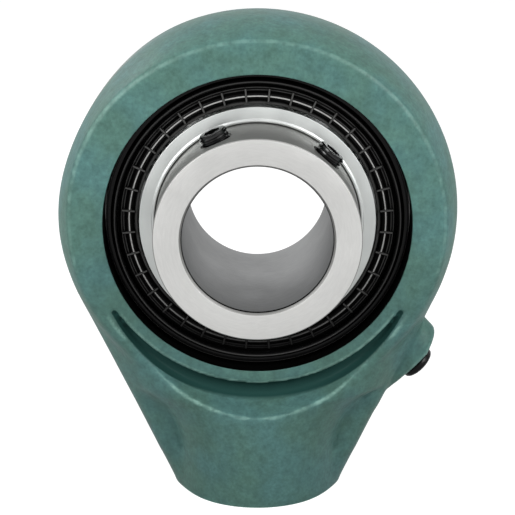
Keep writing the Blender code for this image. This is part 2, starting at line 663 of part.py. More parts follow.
def build_seal(form):
    """A flat rubber ring with a raised bead, crossed by radial ribs."""
    outer = SEAL_SEAT_RADIUS - SHROUD_WALL - 2 * MESH_GAP
    front = SEAL_BACK + SEAL_THICKNESS
    lip = (SEAL_BACK + SEAL_BEAD_CREST + SEAL_THICKNESS) / 2
    bead_in = SEAL_BEAD_RADIUS - SEAL_BEAD_HALF_WIDTH
    bead_out = SEAL_BEAD_RADIUS + SEAL_BEAD_HALF_WIDTH
    rib_end = outer - SEAL_RIM
    base = [(outer, front), (outer, SEAL_BACK), (SEAL_INNER_RADIUS, SEAL_BACK), (SEAL_INNER_RADIUS, lip)]
    plain = base + [(bead_in, lip), (SEAL_BEAD_RADIUS, SEAL_BEAD_CREST), (bead_out, front)]
    ribbed = base + [(bead_in, SEAL_RIB_CREST), (SEAL_BEAD_RADIUS, SEAL_RIB_CREST), (rib_end, SEAL_RIB_CREST)]
    sections = []
    for rib in range(SEAL_RIB_COUNT):
        middle = math.tau * (rib + 0.5) / SEAL_RIB_COUNT
        for angle, profile in (
            (middle - SEAL_RIB_HALF_ANGLE, plain),
            (middle, ribbed),
            (middle + SEAL_RIB_HALF_ANGLE, plain),
        ):
            sections.append([around(radius, angle, height) for radius, height in profile])
    loft(form, sections, True)


def make_flinger(side, parent):
    inner = INNER_RING_RADIUS + MESH_GAP
    sleeve = inner + FLINGER_SHEET
    back = FLINGER_FACE - FLINGER_SHEET
    profile = [
        (FLINGER_RADIUS, FLINGER_FACE),
        (FLINGER_RADIUS, back),
        (sleeve, back),
        (sleeve, back - FLINGER_SLEEVE),
        (inner, back - FLINGER_SLEEVE),
        (inner, FLINGER_FACE),
    ]
    turned(f"{side}_flinger", profile, parent, PRESSED_STEEL)


def make_grease_plug():
    seat = GREASE_BOSS_FACE + MESH_GAP
    crown = PLUG_HEAD_HEIGHT - PLUG_RIM_HEIGHT
    dome = [(0.0, seat + PLUG_HEAD_HEIGHT)]
    for turn in (70.0, 45.0, 20.0, 0.0):
        angle = math.radians(turn)
        dome.append((PLUG_HEAD_RADIUS * math.cos(angle), seat + PLUG_RIM_HEIGHT + crown * math.sin(angle)))
    tip = seat - PLUG_STEM_LENGTH
    stem = [
        (PLUG_HEAD_RADIUS, seat),
        (PLUG_STEM_RADIUS, seat),
        (PLUG_STEM_RADIUS, tip + PLUG_TIP_CHAMFER),
        (PLUG_STEM_RADIUS - PLUG_TIP_CHAMFER, tip),
        (0.0, tip),
    ]
    turned("grease_plug", dome + stem, grease_axis, PLASTIC, steps=20)


def shade_round_pieces():
    """Swaps each part's modifiers for their result and shades it smooth up to its edges."""
    bpy.context.view_layer.update()
    graph = bpy.context.evaluated_depsgraph_get()
    finished = {}
    for piece in parts.objects:
        if piece.type == "MESH":
            finished[piece] = bpy.data.meshes.new_from_object(piece.evaluated_get(graph))
    for piece, mesh in finished.items():
        mesh.name = piece.name
        mesh.shade_smooth()
        mesh.set_sharp_from_angle(angle=math.radians(35.0))
        piece.modifiers.clear()
        piece.data = mesh


# Frames. What stays with the housing hangs from the centre, and what moves hangs from the
# empty on its joint's axis.
centre = frame("bearing_centre", place=(0.0, MID_Y, CENTRE_HEIGHT))
boss_axis = frame("boss_axis", place=(0.0, MID_Y, 0.0))
grease_axis = frame("grease_axis", centre, turn=Matrix.Rotation(math.radians(GREASE_ANGLE), 4, "Y"))
self_align = frame("self_align_axis", centre)
insert_front = frame("insert_front", self_align, turn=OUTWARDS_FRONT)
insert_back = frame("insert_back", self_align, turn=OUTWARDS_BACK)
inner_spin = frame("inner_ring_spin", self_align)
inner_front = frame("inner_ring_front", inner_spin, turn=OUTWARDS_FRONT)
inner_back = frame("inner_ring_back", inner_spin, turn=OUTWARDS_BACK)
cage_orbit = frame("cage_orbit", self_align, turn=OUTWARDS_FRONT)
cage_front = frame("cage_front", cage_orbit)
cage_back = frame("cage_back", cage_orbit, turn=Matrix.Rotation(math.pi, 4, "Y"))

make_housing()
make_outer_ring()
make_anti_rotation_pin()
make_inner_ring()
for screw_number, screw_angle in enumerate(SCREW_ANGLES, 1):
    make_set_screw(screw_number, screw_angle)
make_balls()
make_cage()
for side_name, fixed, spinning in (("front", insert_front, inner_front), ("back", insert_back, inner_back)):
    make_shroud(side_name, fixed)
    meshed(f"{side_name}_seal", build_seal, fixed, RUBBER)
    make_flinger(side_name, spinning)
make_grease_plug()
shade_round_pieces()
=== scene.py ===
# Looks of a hanger bearing unit: an enamelled iron casting that holds a sealed ball bearing
# insert, shown standing on its boss.
#
# Metres, +Z up, with the shaft along Y and the set-screw side facing -Y. Real sizes are
# written in millimetres, and angles in degrees. An angle round the shaft counts from the top
# towards +X. A turned piece is made about the Z axis, where a height is a distance out of the
# bearing from its ball plane, and is then laid along the shaft.

import math

import bmesh
import bpy
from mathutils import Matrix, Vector


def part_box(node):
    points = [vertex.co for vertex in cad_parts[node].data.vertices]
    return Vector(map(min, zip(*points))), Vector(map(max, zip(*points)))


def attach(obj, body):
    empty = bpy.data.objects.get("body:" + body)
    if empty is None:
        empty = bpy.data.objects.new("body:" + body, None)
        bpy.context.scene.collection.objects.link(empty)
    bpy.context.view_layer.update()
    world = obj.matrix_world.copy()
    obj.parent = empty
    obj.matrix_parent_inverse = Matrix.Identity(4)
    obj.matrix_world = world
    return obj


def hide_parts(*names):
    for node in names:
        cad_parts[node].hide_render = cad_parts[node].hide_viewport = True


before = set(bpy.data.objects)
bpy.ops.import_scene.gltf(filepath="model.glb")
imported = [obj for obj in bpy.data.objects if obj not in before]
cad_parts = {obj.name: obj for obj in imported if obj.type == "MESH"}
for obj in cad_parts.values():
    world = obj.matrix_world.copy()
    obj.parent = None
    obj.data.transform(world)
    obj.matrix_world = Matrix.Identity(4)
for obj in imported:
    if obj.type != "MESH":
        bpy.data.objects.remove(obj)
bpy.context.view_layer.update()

MM = 0.001
MERGE_DISTANCE = 0.001 * MM

# Places, from the frame.
inner_low, inner_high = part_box("inner_ring")
outer_low, outer_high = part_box("outer_ring")
housing_low, housing_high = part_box("housing")
AXIS_Z = (inner_low.z + inner_high.z) / 2
BALL_Y = (outer_low.y + outer_high.y) / 2
INNER_RADIUS = (inner_high.x - inner_low.x) / 2
INNER_AHEAD = BALL_Y - inner_low.y
INNER_BEHIND = inner_high.y - BALL_Y
SPHERE_RADIUS = (outer_high.x - outer_low.x) / 2
OUTER_HALF_WIDTH = (outer_high.y - outer_low.y) / 2
RING_RADIUS = housing_high.z - AXIS_Z

# Insert.
BORE_RADIUS = 19.05 * MM
INNER_CHAMFER = 0.25 * MM
BORE_EDGE = 0.7 * MM
BORE_LINE = 0.22 * MM
BALL_COUNT = 9
BALL_RADIUS = 6.35 * MM
BALL_GAP = 0.3 * MM
PITCH_RADIUS = 30.0 * MM
SHOULDER_RADIUS = 33.63 * MM
SEAL_SEAT_RADIUS = 37.9 * MM
SEAL_SEAT_DEPTH = 3.0 * MM
RING_LAND_RADIUS = 39.3 * MM
PIECE_GAP = 0.3 * MM
GROOVE_HALF_WIDTH = 1.5 * MM
GROOVE_DEPTH = 0.6 * MM
SHROUD_WALL = 1.2 * MM
SHROUD_PROUD = 1.25 * MM
SEAL_INNER_RADIUS = 31.0 * MM
SEAL_BACK = 8.7 * MM
SEAL_THICKNESS = 1.2 * MM
SEAL_LIP_CREST = 10.55 * MM
SEAL_LIP_WIDTH = 0.65 * MM
SEAL_EDGE = 0.15 * MM
BEAD_RADIUS = 33.2 * MM
BEAD_HALF_WIDTH = 1.25 * MM
BEAD_CREST = 11.07 * MM
SEAL_LINES = (34.65 * MM, 35.3 * MM)
SEAL_LINE_HEIGHT = 0.25 * MM
RIB_COUNT = 36
RIB_WIDTH = 0.65 * MM
RIB_CREST = 11.35 * MM
RIB_INNER_END = 31.7 * MM
RIB_OUTER_END = 35.3 * MM
FLINGER_RADIUS = 30.6 * MM
FLINGER_SHEET = 1.0 * MM
FLINGER_FACE = 12.0 * MM
FLINGER_SLEEVE = 2.8 * MM
FLINGER_ROLL = 0.28 * MM
INNER_RING_EDGE = 0.18 * MM
OUTER_RING_EDGE = 0.22 * MM
FLINGER_EDGE = 0.15 * MM
# Heights over which the painted highlights grow from faint at the bottom to full.
HIGHLIGHT_HEIGHTS = (-32.0 * MM, -10.0 * MM)

# Set screws, 5/16 inch with a fine thread.
SCREW_RADIUS = 3.9 * MM
SCREW_LENGTH = 9.1 * MM
SCREW_FROM_END = 8.0 * MM
SCREW_OFF_BORE = 0.5 * MM
SCREW_PITCH = 1.06 * MM
THREAD_DEPTH = 0.4 * MM
SOCKET_FLATS = 4.0 * MM
SOCKET_DEPTH = 4.0 * MM
SOCKET_POINT_RADIUS = 0.3 * MM
SOCKET_POINT_DEPTH = 0.9 * MM
SCREW_CHAMFER = 0.6 * MM
CUP_RADIUS = 2.2 * MM
CUP_HOLLOW_RADIUS = 1.4 * MM
CUP_HOLLOW_DEPTH = 0.8 * MM
SCREW_HOLE_CHAMFER = 2.0 * MM
SCREW_ANGLES = (-23.5, 41.5)

# Ring of the housing. Its outside is crowned, and was ground flat where the iron was poured
# in: round an angle and its spread to each side, and from a start to an end behind the balls.
RING_CROWN = 4.2 * MM
RING_BACK_CROWN = 2.5 * MM
FLAT_ANGLE = -59.0
FLAT_SPREAD = 39.5
FLAT_CROWN = 0.45
FLAT_FACE_RISE = 0.9 * MM
FLAT_START = (-1.0 * MM, 1.5 * MM)
FLAT_END = (12.0 * MM, 15.0 * MM)
FLAT_SKIN = (6.0 * MM, 4.0 * MM)
RING_HALF_WIDTH = 16.0 * MM
RING_BORE_RADIUS = 39.75 * MM
BORE_CHAMFER = 0.15 * MM
SWIVEL_GAP = 0.3 * MM
COLLAR_RADIUS = 43.4 * MM

# Neck and webs, and the relief pockets, which are cut off centre below the shaft.
BOSS_RADIUS = 22.5 * MM
FLARE_HEIGHT = 10.0 * MM
FLARE_RADIUS = 20.5 * MM
FLARE_ANGLE = 78.0
NECK_TOP = 12.0 * MM
NECK_CLEARANCE = 1.0 * MM
NECK_INSET = 3.7 * MM
NECK_SQUARENESS = 2.05
WEB_HALF_THICKNESS = 9.0 * MM
WEB_EDGE = 5.0 * MM
WEB_HOLLOW = 0.1 * MM
WEB_FOOT = -3.0 * MM
WEB_RUNOUT_ANGLE = 24.0
WEB_RUNOUT_SINK = 2.5 * MM
RELIEF_DROP = 6.7 * MM
RELIEF_DEPTH = 3.0 * MM
RELIEF_RADIUS = 40.8 * MM
RELIEF_SLOPE = 0.31

# Machined openings: loading notches, pin slot and tapped hole.
NOTCH_REACH = 40.6 * MM
NOTCH_HALF_HEIGHT = 11.1 * MM
PIN_SLOT_HALF_WIDTH = 1.8 * MM
PIN_SLOT_HALF_LENGTH = 3.58 * MM
PIN_SLOT_TOP = 42.9 * MM
PIPE_HOLE_RADIUS = 12.3 * MM
PIPE_HOLE_DEPTH = 22.0 * MM
PIPE_HOLE_POINT = 29.0 * MM
PIPE_HOLE_TAPER = 0.03125
PIPE_HOLE_CHAMFER = 1.3 * MM
PIPE_THREAD_PITCH = 1.81 * MM
PIPE_THREAD_DEPTH = 1.0 * MM

# Grease boss and its plug. The boss is stretched above and below the plug by these factors,
# and its face falls away above.
GREASE_ANGLE = 135.0
GREASE_BOSS_RADIUS = 7.9 * MM
GREASE_BOSS_ABOVE = 1.3
GREASE_BOSS_BELOW = 1.9
GREASE_BOSS_FLAT = 0.5 * MM
GREASE_BOSS_FALL = 2.2 * MM
GREASE_BOSS_RIM = 1.2 * MM
GREASE_BOSS_DRAFT = 0.4 * MM
GREASE_BOSS_PROUD = 7.6 * MM
GREASE_BOSS_SUNK = 7.7 * MM
GREASE_BOSS_NARROWING = 0.76
PLUG_HEAD_RADIUS = 4.75 * MM
PLUG_HEAD_HEIGHT = 2.5 * MM
PLUG_RIM = 1.0 * MM
PLUG_TIP_CHAMFER = 0.8 * MM
PLUG_EDGE = 0.12 * MM
PLUG_STEM_RADIUS = 2.6 * MM
PLUG_STEM_LENGTH = 5.5 * MM

# Casting: what the foundry leaves, and how soft its edges are.
BORE_ALLOWANCE = 3.0 * MM
FACING_ALLOWANCE = 3.0 * MM
CASTING_VOXEL = 0.7 * MM
EDGE_SMOOTHING = 5
FILLET_SMOOTHING = 120
# Ridges carry pale specks that are partly thin paint and partly painted highlight.
RIDGE_SMOOTHING = 12
RIDGE_HEIGHT = 0.25 * MM
# Where and how strongly a painted shadow darkens the groove under the lip.
LIP_SHADOW_CLING = 0.4 * MM
LIP_SHADOW_WIDTH = 5.0 * MM
LIP_SHADOW_FADE = 1.4 * MM
LIP_SHADOW_DEPTHS = (0.3 * MM, 0.9 * MM)
LIP_SHADOW_STRENGTH = 1.4

# Where the pattern blends the webs widely into the ring and the boss, and where it keeps the
# grease boss sharp. Each pair is the stretch over which that sets in.
BLEND_BELOW_SHAFT = (12.0 * MM, 24.0 * MM)
BLEND_BESIDE_NECK = (22.0 * MM, 32.0 * MM)
BLEND_OFF_SHAFT = (46.0 * MM, 50.0 * MM)
BLEND_OVER_FOOT = (8.0 * MM, 12.0 * MM)
BLEND_BESIDE_BOSS = (12.0 * MM, 18.0 * MM)
BLEND_OFF_MIDDLE = (3.0 * MM, 6.0 * MM)
SHARP_ALONG_SPOKE = (49.0 * MM, 52.0 * MM)
SHARP_BESIDE_SPOKE = (15.0 * MM, 18.0 * MM)

# Cuts go past what they cut, and masked paint ends this far outside bore and thread.
CUT_PAST = 2.0 * MM
BORE_MASK = 1.1 * MM
THREAD_MASK = 1.5 * MM
THREAD_START = 0.2 * MM

FINE_STEPS = 192
MIDDLE_STEPS = 96
SMALL_STEPS = 64
HOLE_STEPS = 48
SIDES = ("front", "back")

# Patterns of the finishes: sizes, or how many lines or clouds go to a metre.
PAINT_PATCH = 14.0 * MM
PAINT_BLOT = 2.4 * MM
SAND_GRAIN = 0.8 * MM
TOOL_LINES = 2.6 / MM
OIL_CLOUDS = 0.09 / MM
HANDLING_CLOUDS = 0.12 / MM

# A Mix node's colour sockets, whose names its other sockets share.
COLOUR_A, COLOUR_B, MIXED = 6, 7, 2

# Stage: a light's place and size in metres, and its power in watts.
LIGHTS = {
    "softbox_left": ((-0.40, -0.42, 0.37), (0.3, 0.3), 2.6),
    "softbox_right": ((0.42, -0.42, 0.37), (0.3, 0.3), 2.65),
    "strip_upper_left": ((-0.75, -0.35, 0.50), (0.15, 0.9), 1.0),
    "strip_upper_right": ((0.75, -0.35, 0.50), (0.15, 0.9), 1.0),
    "strip_behind": ((-0.55, 0.40, 0.50), (0.5, 0.25), 1.2),
}
FLOOR_SIZE = 6.0
PAPER_LIFT = 0.85
GLOSS_LIFT = 0.35
AIR_LIGHT = 0.24
CAMERA_TILT = 18.33
CAMERA_DISTANCE = 453.5 * MM
CAMERA_AIM_BELOW_AXIS = 4.2 * MM
FOCAL_LENGTH = 126.5
SENSOR_WIDTH = 36.0


# Modelling.

def select_only(*pieces):
    bpy.ops.object.select_all(action="DESELECT")
    for piece in pieces:
        piece.select_set(True)
    bpy.context.view_layer.objects.active = pieces[0]


def named(piece, name):
    piece.name = name
    piece.data.name = name
    return piece


def arc(centre_radius, centre_height, radius, start, end, count):
    """Outline points on a circle. Angles are in degrees, from outwards towards up."""
    points = []
    for i in range(count + 1):
        angle = math.radians(start + (end - start) * i / count)
        points.append((centre_radius + radius * math.cos(angle), centre_height + radius * math.sin(angle)))
    return points


def mirrored(outline):
    """The same stretch of outline on the other side of the ball plane."""
    return [(radius, -height) for radius, height in reversed(outline)]


def ramp(value, start, end):
    """Rises from 0 to 1 between two values."""
    return min(max((value - start) / (end - start), 0.0), 1.0)


def fall(value, start, end):
    """Falls from 1 to 0 between two values."""
    return ramp(-value, -end, -start)


def off_shaft(place):
    """How far a place is from the shaft's axis."""
    return math.hypot(place.x, place.z - AXIS_Z)


def store(piece, name, values):
    """Keeps a value for each point of a piece, which its material reads."""
    piece.data.attributes.new(name, "FLOAT", "POINT").data.foreach_set("value", values)


def turned(name, outline, steps=FINE_STEPS, solid=False):
    """Lathe work: a circle is extruded along an outline of (radius, height) points.
    A ring's outline closes on itself, and a solid's ends in two flat faces."""
    bpy.ops.object.select_all(action="DESELECT")
    radius, height = outline[0]
    fill = "NGON" if solid else "NOTHING"
    bpy.ops.mesh.primitive_circle_add(
        vertices=steps, radius=radius, location=(0.0, 0.0, height), fill_type=fill
    )
    piece = named(bpy.context.object, name)
    bpy.ops.object.transform_apply()
    bpy.ops.object.mode_set(mode="EDIT")
    bpy.ops.mesh.select_all(action="SELECT")
    for next_radius, next_height in outline[1:] + ([] if solid else outline[:1]):
        bpy.ops.mesh.extrude_region()
        share = next_radius / radius
        bpy.ops.transform.resize(value=(share, share, 1.0), center_override=(0.0, 0.0, 0.0))
        bpy.ops.transform.translate(value=(0.0, 0.0, next_height - height))
        radius, height = next_radius, next_height
    close_mesh()
    return piece


def close_mesh():
    """Ends an edit: what touches is merged, and faces point outwards."""
    bpy.ops.mesh.select_all(action="SELECT")
    bpy.ops.mesh.remove_doubles(threshold=MERGE_DISTANCE)
    bpy.ops.mesh.normals_make_consistent(inside=False)
    bpy.ops.object.mode_set(mode="OBJECT")


def settle(piece):
    """Gives a piece's place to its mesh, and leaves its object at the origin."""
    select_only(piece)
    bpy.ops.object.transform_apply(location=True, rotation=True, scale=True)
    return piece


def along_shaft(piece, side="front"):
    """Lays a turned piece along the shaft, with its heights out of that side."""
    turn = 90.0 if side == "front" else -90.0
    piece.rotation_euler = (math.radians(turn), 0.0, 0.0)
    piece.location = (0.0, BALL_Y, AXIS_Z)
    return settle(piece)


def across_shaft(piece, angle, y=None):
    """Stands a turned piece on a spoke of the shaft, at degrees from the top towards +X."""
    piece.rotation_euler = (0.0, math.radians(angle), 0.0)
    piece.location = (0.0, BALL_Y if y is None else y, AXIS_Z)
    return settle(piece)


def apply_modifier(piece, kind, **settings):
    select_only(piece)
    step = piece.modifiers.new(kind.lower(), kind)
    for key, value in settings.items():
        setattr(step, key, value)
    bpy.ops.object.modifier_apply(modifier=step.name)


def combine(piece, operation, tool, solver="EXACT"):
    """Adds, cuts away or keeps what is inside a tool, which is then thrown away."""
    apply_modifier(piece, "BOOLEAN", operation=operation, solver=solver, object=tool)
    bpy.data.objects.remove(tool, do_unlink=True)


def bevel(piece, width, segments=2, angle=30.0):
    apply_modifier(
        piece, "BEVEL", width=width, segments=segments, limit_method="ANGLE",
        angle_limit=math.radians(angle), harden_normals=False,
    )


def shade(piece, angle=30.0):
    select_only(piece)
    bpy.ops.object.shade_smooth_by_angle(angle=math.radians(angle))


def finish_piece(piece, body, slot, material, *nodes):
    """Hands a finished piece to the frame, in place of its nodes."""
    piece.data.materials.clear()
    piece.data.materials.append(material)
    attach(piece, body)
    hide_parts(*nodes)
    return piece


# Housing casting.

def crown(drop):
    """The ring's outside from one face to its middle, which stands higher by the drop."""
    curve = (RING_HALF_WIDTH ** 2 + drop ** 2) / (2 * drop)
    reach = math.degrees(math.asin(RING_HALF_WIDTH / curve))
    return arc(RING_RADIUS - curve, 0.0, curve, reach, 0.0, 8)


def ring_blank():
    """The ring, with a crowned outside and stock left in its bore."""
    inside = RING_BORE_RADIUS - BORE_ALLOWANCE
    front, back = crown(RING_CROWN), crown(RING_BACK_CROWN)
    outline = [(inside, RING_HALF_WIDTH)] + front + mirrored(back)[1:] + [(inside, -RING_HALF_WIDTH)]
    ring = along_shaft(turned("housing_casting", outline))
    grind_flat(ring)
    return ring


def flat_share(place):
    """1 in the middle of the flat that was ground where the iron was poured in, and 0 off it."""
    off = math.degrees(math.atan2(place.x, place.z - AXIS_Z)) - FLAT_ANGLE
    return 0.5 + 0.5 * math.cos(math.pi * min(abs(off) / FLAT_SPREAD, 1.0))


def grind_flat(ring):
    """On the ground flat the outside is flatter and its faces stay fuller."""
    face_radius = RING_RADIUS - RING_CROWN
    for vert in ring.data.vertices:
        up = vert.co.z - AXIS_Z
        radius = math.hypot(vert.co.x, up)
        if radius > face_radius - 1 * MM:
            flatter = face_radius + FLAT_FACE_RISE + FLAT_CROWN * (radius - face_radius)
            scale = 1 + flat_share(vert.co) * (flatter / radius - 1)
            vert.co.x *= scale
            vert.co.z = AXIS_Z + up * scale


def tangent_foot():
    """Where a side leaves the ring, the foot of that side on the boss, and its lean."""
    foot = Vector((BOSS_RADIUS, -AXIS_Z))
    angle = math.atan2(foot.x, -foot.y) + math.acos(RING_RADIUS / foot.length)
    shoulder = RING_RADIUS * Vector((math.sin(angle), -math.cos(angle)))
    lean = (shoulder.x - foot.x) / (shoulder.y - foot.y)
    return shoulder, foot, lean


def oval_section(piece, width, depth, squareness):
    """Moves the selected loop out to a squared oval."""
    form = bmesh.from_edit_mesh(piece.data)
    for vert in form.verts:
        if vert.select:
            angle = math.atan2(vert.co.y - BALL_Y, vert.co.x)
            across = abs(math.cos(angle) / width) ** squareness
            along = abs(math.sin(angle) / depth) ** squareness
            radius = (across + along) ** (-1 / squareness)
            vert.co.x = radius * math.cos(angle)
            vert.co.y = BALL_Y + radius * math.sin(angle)
    bmesh.update_edit_mesh(piece.data)


def open_for_insert(piece):
    """Cuts the ring's inside out of a piece that meets the ring from below."""
    clearance, reach = COLLAR_RADIUS + NECK_CLEARANCE, 2 * BOSS_RADIUS
    opening = turned("opening", [(clearance, -reach), (clearance, reach)], solid=True)
    combine(piece, "DIFFERENCE", along_shaft(opening))


def neck():
    """Drawn up from the round boss to a wide oval inside the ring."""
    lean = tangent_foot()[2]
    top = AXIS_Z - NECK_TOP
    flare_top = FLARE_HEIGHT + FLARE_RADIUS * math.sin(math.radians(FLARE_ANGLE))
    widest = min(BOSS_RADIUS + lean * top, RING_RADIUS - NECK_INSET)
    levels = [(FLARE_HEIGHT, BOSS_RADIUS)]
    flare_steps, upper_steps = 10, 6
    for i in range(1, flare_steps + 1):
        angle = math.radians(FLARE_ANGLE) * i / flare_steps
        height = FLARE_HEIGHT + FLARE_RADIUS * math.sin(angle)
        width = BOSS_RADIUS + FLARE_RADIUS * (1 - math.cos(angle))
        levels.append((height, min(width, BOSS_RADIUS + lean * height)))
    for i in range(1, upper_steps + 1):
        height = flare_top + (top - flare_top) * i / upper_steps
        levels.append((height, min(BOSS_RADIUS + lean * height, RING_RADIUS - NECK_INSET)))
    bpy.ops.object.select_all(action="DESELECT")
    bpy.ops.mesh.primitive_circle_add(
        vertices=MIDDLE_STEPS, radius=BOSS_RADIUS, location=(0.0, BALL_Y, -FACING_ALLOWANCE),
        fill_type="NGON",
    )
    piece = named(bpy.context.object, "neck")
    bpy.ops.object.transform_apply()
    bpy.ops.object.mode_set(mode="EDIT")
    bpy.ops.mesh.select_all(action="SELECT")
    last = -FACING_ALLOWANCE
    for height, width in levels:
        bpy.ops.mesh.extrude_region()
        bpy.ops.transform.translate(value=(0.0, 0.0, height - last))
        widening = (width - BOSS_RADIUS) / (widest - BOSS_RADIUS)
        oval_section(piece, width, BOSS_RADIUS, 2 + (NECK_SQUARENESS - 2) * widening)
        last = height
    close_mesh()
    open_for_insert(piece)
    return piece


def webs():
    """A plate with rounded edges, whose two sides spread until they touch the ring and then
    run out into it."""
    shoulder, foot, lean = tangent_foot()
    bpy.ops.object.select_all(action="DESELECT")
    bpy.ops.mesh.primitive_plane_add(size=2.0, location=(0.0, BALL_Y, WEB_FOOT))
    piece = named(bpy.context.object, "webs")
    half_width = BOSS_RADIUS + lean * WEB_FOOT
    piece.scale = (half_width, WEB_HALF_THICKNESS, 1.0)
    settle(piece)
    bpy.ops.object.mode_set(mode="EDIT")
    bpy.ops.mesh.select_all(action="SELECT")
    bpy.ops.mesh.bevel(offset=WEB_EDGE, segments=6, affect="VERTICES")
    bpy.ops.mesh.select_all(action="SELECT")
    last = WEB_FOOT
    top = AXIS_Z + shoulder.y
    levels = []
    side_steps, runout_steps = 14, 8
    for i in range(1, side_steps + 1):
        t = i / side_steps
        height = WEB_FOOT + (top - WEB_FOOT) * t
        hollow = 4 * t * (1 - t) * WEB_HOLLOW * math.hypot(1.0, lean)
        levels.append((height, BOSS_RADIUS + lean * height - hollow))
    for i in range(1, runout_steps + 1):
        t = i / runout_steps
        radius = RING_RADIUS - WEB_RUNOUT_SINK * t * t
        angle = math.atan2(shoulder.x, -shoulder.y) + math.radians(WEB_RUNOUT_ANGLE) * t
        levels.append((AXIS_Z - radius * math.cos(angle), radius * math.sin(angle)))
    for height, width in levels:
        bpy.ops.mesh.extrude_region()
        bpy.ops.transform.translate(value=(0.0, 0.0, height - last))
        form = bmesh.from_edit_mesh(piece.data)
        for vert in form.verts:
            if vert.select:
                vert.co.x += math.copysign(width - half_width, vert.co.x)
        bmesh.update_edit_mesh(piece.data)
        half_width, last = width, height
    close_mesh()
    open_for_insert(piece)
    return piece


def grease_boss():
    """A stub with a rounded rim. Its face is flat round the plug, falls away above it and
    runs on below it into the web."""
    root = RING_RADIUS - GREASE_BOSS_SUNK
    face = RING_RADIUS + GREASE_BOSS_PROUD
    flat = PLUG_HEAD_RADIUS + GREASE_BOSS_FLAT
    upper_edge = GREASE_BOSS_ABOVE * GREASE_BOSS_RADIUS
    outline = [
        (flat, face),
        (GREASE_BOSS_RADIUS, face),
        (GREASE_BOSS_RADIUS + GREASE_BOSS_DRAFT, root),
    ]
    piece = turned("grease_boss", outline, MIDDLE_STEPS, solid=True)
    for vert in piece.data.vertices:
        if math.hypot(vert.co.x, vert.co.y) > flat + 0.1 * MM:
            vert.co.x *= GREASE_BOSS_BELOW if vert.co.x > 0.0 else GREASE_BOSS_ABOVE
            if vert.co.z > root + 1 * MM:
                vert.co.z -= GREASE_BOSS_FALL * ramp(-vert.co.x, flat, upper_edge)
    piece.scale.y = GREASE_BOSS_NARROWING
    bevel(settle(piece), GREASE_BOSS_RIM)
    return across_shaft(piece, GREASE_ANGLE)


def relief_cutter(side):
    """A sloping cut, off centre, that leaves a lip standing round the bore."""
    floor = RING_HALF_WIDTH - RELIEF_DEPTH
    top = BOSS_RADIUS + RELIEF_DEPTH
    outline = [(RELIEF_RADIUS + RELIEF_SLOPE * (top - floor), top), (RELIEF_RADIUS, floor)]
    cutter = along_shaft(turned("relief", outline, solid=True), side)
    cutter.location.z -= RELIEF_DROP
    settle(cutter)
    lip = turned("lip", [(COLLAR_RADIUS, 2 * top), (COLLAR_RADIUS, 0.0)], solid=True)
    combine(cutter, "DIFFERENCE", along_shaft(lip, side))
    return cutter


def fillet_share(place):
    """1 where the webs leave the ring and the boss, which the pattern blends widely."""
    up = place.z - AXIS_Z
    under_ring = ramp(-up, *BLEND_BELOW_SHAFT) * ramp(abs(place.x), *BLEND_BESIDE_NECK)
    under_ring *= ramp(off_shaft(place), *BLEND_OFF_SHAFT)
    at_foot = fall(place.z, *BLEND_OVER_FOOT) * ramp(abs(place.x), *BLEND_BESIDE_BOSS)
    spoke = Vector((math.sin(math.radians(GREASE_ANGLE)), math.cos(math.radians(GREASE_ANGLE))))
    out = place.x * spoke.x + up * spoke.y
    beside = abs(up * spoke.x - place.x * spoke.y)
    on_grease_boss = ramp(out, *SHARP_ALONG_SPOKE) * fall(beside, *SHARP_BESIDE_SPOKE)
    off_middle = ramp(abs(place.y - BALL_Y), *BLEND_OFF_MIDDLE)
    return max(under_ring, at_foot) * (1.0 - on_grease_boss) * off_middle


def soften_casting(casting):
    """Gives the joined shapes the soft edges and the wide fillets of a sand mould."""
    apply_modifier(casting, "REMESH", mode="VOXEL", voxel_size=CASTING_VOXEL, use_smooth_shade=True)
    apply_modifier(casting, "SMOOTH", factor=0.5, iterations=EDGE_SMOOTHING)
    group = casting.vertex_groups.new(name="wide_fillets")
    for vert in casting.data.vertices:
        group.add([vert.index], fillet_share(vert.co), "REPLACE")
    apply_modifier(
        casting, "SMOOTH", factor=0.5, iterations=FILLET_SMOOTHING, vertex_group=group.name
    )
    casting.vertex_groups.clear()


def lip_shadow_share(place):
    """1 in the groove under the lip, where a painted shadow stands for the lip's shadow."""
    radius = off_shaft(place)
    depth = RING_HALF_WIDTH - abs(place.y - BALL_Y)
    if radius < COLLAR_RADIUS - LIP_SHADOW_CLING:
        return 0.0
    return ramp(COLLAR_RADIUS + LIP_SHADOW_WIDTH - radius, 0.0, LIP_SHADOW_FADE) * ramp(depth, *LIP_SHADOW_DEPTHS)


def mark_ridges(casting):
    """Stores how far each point of the cast skin stands out of the smoothed surface. The
    material paints pale specks on the ridges, partly thin paint and partly painted highlight,
    and painted shade where the value is negative."""
    altered = casting.copy()
    altered.data = casting.data.copy()
    bpy.context.collection.objects.link(altered)
    apply_modifier(altered, "SMOOTH", factor=0.5, iterations=RIDGE_SMOOTHING)
    heights = []
    for sharp, smooth in zip(casting.data.vertices, altered.data.vertices):
        height = (sharp.co - smooth.co).dot(sharp.normal) / RIDGE_HEIGHT
        if off_shaft(sharp.co) < RING_BORE_RADIUS + 1 * MM:
            height = 0.0
        # The groove under the lip is pushed negative, so the material paints a shadow there.
        heights.append(height - LIP_SHADOW_STRENGTH * lip_shadow_share(sharp.co))
    bpy.data.objects.remove(altered, do_unlink=True)
    store(casting, "ridge", heights)


def mark_ground_flat(casting):
    """Stores how thin the paint lies over the ground flat, which begins at the ring's middle."""
    skin = [RING_RADIUS - depth for depth in FLAT_SKIN]
    shares = []
    for vert in casting.data.vertices:
        behind = vert.co.y - BALL_Y
        on_flat = min(2 * flat_share(vert.co), 1.0) * ramp(off_shaft(vert.co), *skin)
        shares.append(on_flat * ramp(behind, *FLAT_START) * fall(behind, *FLAT_END))
    store(casting, "ground", shares)


